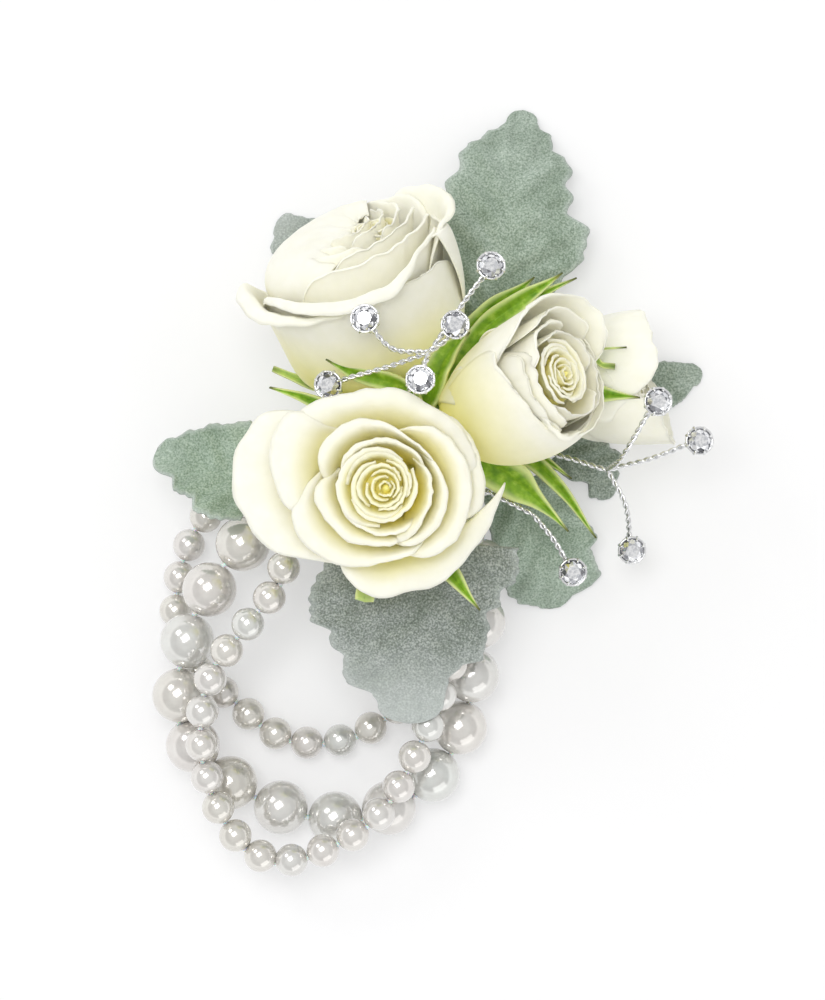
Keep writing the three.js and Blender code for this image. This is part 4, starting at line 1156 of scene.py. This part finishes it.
def twisted_wire(shape, points):
    """Two fine wires wound round each other along a line."""
    dense = centripetal(points, 30)
    length = line_length(dense)
    path = spaced(dense, max(8, int(length / 0.22)))
    frames = carried(path)
    for start in (0, math.pi):
        line = []
        for i, (place, normal, other) in enumerate(frames):
            turn = start + 2 * math.pi * length * i / (len(frames) - 1) / WIRE_PITCH
            line.append(place + (normal * math.cos(turn) + other * math.sin(turn)) * WIRE_STRAND)
        shape.tube(line, WIRE_STRAND, 8)


def cup(shape, axes):
    """Silver cup with a rolled rim and eight small claws over the stone's edge."""
    profile = [
        (0.3, -CUP_DEPTH), (1.2, -CUP_DEPTH + 0.1), (2.0, -1.35), (2.45, -0.5), (CUP_RADIUS, 0.25),
        (CUP_RADIUS, 0.5), (2.4, 0.6), (2.2, 0.45), (2.15, 0.15), (0.6, -1.25),
    ]
    shape.lathe(axes, profile, 32)
    for i in range(8):
        turn = 2 * math.pi * (i + 0.5) / 8
        claw = [axes.around(2.45, turn, 0), axes.around(2.4, turn, 0.6), axes.around(1.95, turn, 0.95)]
        shape.tube(spaced(centripetal(claw, 6), 6), lambda t: 0.34 - 0.16 * t, 8)


def brilliant(shape, axes):
    """Round brilliant cut stone of flat facets."""
    def ring(count, radius, z, shift=0):
        return [axes.around(radius, 2 * math.pi * (i + shift) / count, z) for i in range(count)]
    top = ring(8, GEM_TABLE, 1.3)
    star = ring(8, 1.68, 0.98, 0.5)
    edge = ring(16, GEM_RADIUS, 0.5)
    under = ring(16, GEM_RADIUS, 0.2)
    deep = ring(8, 1.05, -0.62, 0.5)
    points = top + star + edge + under + deep + [axes.at(0, 0, -1.3)]
    faces = [list(range(8))]
    tip = 56
    for i in range(8):
        n = (i + 1) % 8
        t, s, e, u, d = i, 8 + i, 16 + 2 * i, 32 + 2 * i, 48 + i
        last_s = 8 + (i - 1) % 8
        last_d = 48 + (i - 1) % 8
        next_e = 16 + (2 * i + 2) % 16
        next_u = 32 + (2 * i + 2) % 16
        faces += [[t, s, n], [t, last_s, e, s], [s, e, e + 1], [s, e + 1, next_e]]
        faces += [[e, u, u + 1, e + 1], [e + 1, u + 1, next_u, next_e]]
        faces += [[d, u + 1, u], [d, next_u, u + 1], [tip, d, u, last_d]]
    shape.add(points, faces)


def spray(name):
    facts = SPRAYS[name]
    body = "spray_" + name
    bend = vec(*facts["stub"][-1])
    fork = facts["fork"]
    trunk = Shape()
    twisted_wire(trunk, [*facts["stub"], fork])
    obj = trunk.piece("wire_trunk_" + name, None, None, SILVER)
    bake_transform(obj)
    branches = Shape()
    for i, (place, looks, via) in enumerate(facts["gems"]):
        axes = Axes(place, looks, RIGHT)
        cup(branches, axes)
        twisted_wire(branches, [fork, *via, axes.at(0, 0, -CUP_DEPTH)])
        stone = Shape()
        brilliant(stone, axes)
        obj = stone.piece(f"stone_{name}_{i + 1}", body, "rhinestone", GEM, rounded=False)
        # painted reflections: each face of the stone gets a random tone from dark to bright, painted in place
        # of what it would mirror
        facets = obj.data.attributes.new("painted_reflection", "FLOAT", "FACE")
        draw = random.Random(len(name) * 10 + i)
        painted_reflection_tones = [draw.random() ** 0.6 for _ in obj.data.polygons]
        painted_reflection_tones[0] = 0.75 + 0.25 * painted_reflection_tones[0]  # the table on top gets a bright painted reflection
        facets.data.foreach_set("value", painted_reflection_tones)
        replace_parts(obj, f"gem_{name}_{i + 1}")
    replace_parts(branches.piece("wire_branches_" + name, body, "wire", SILVER), "spray_wire_" + name)


for spray_name in SPRAYS:
    spray(spray_name)


# Stem bundle and plate

def stem_bundle():
    """Stems wound with tape, each turn of the tape lapping the last."""
    shape = Shape()
    axes = Axes(vec(-BUNDLE_LENGTH / 2, BUNDLE_Y, 0), RIGHT, IMAGE_UP)

    def place(s, t):
        way = t * BUNDLE_LENGTH
        lap = (way / TAPE_STEP + s) % 1
        ease = min(1, min(t, 1 - t) * 14)
        radius = BUNDLE_RADIUS - TAPE_EDGE + TAPE_EDGE * smooth(lap * 1.1) - 0.6 * (1 - ease) ** 2
        turn = 2 * math.pi * s
        radius += 0.12 * noise.noise(vec(way * 0.8, math.cos(turn) * 2, math.sin(turn) * 2))
        return axes.around(radius, turn, way)

    sides = 72
    rings = 120
    points = [place(i / sides, j / (rings - 1)) for j in range(rings) for i in range(sides)]
    shape.add(points, ring_faces(rings, sides))
    obj = shape.piece("stem_bundle_tape", "bouquet", "tape", TAPE)
    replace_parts(obj, "stem_bundle")
    stub = Shape()
    stub.tube(spaced(centripetal(LEAF_STUB, 20), 30), STALK_RADIUS, 10, green=0.4)
    stub.piece("leaf_stub_low", "bouquet", "leaf", LEAF)


stem_bundle()
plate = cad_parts["wristlet_plate"]
plate.data.materials.clear()
plate.data.materials.append(PLATE)
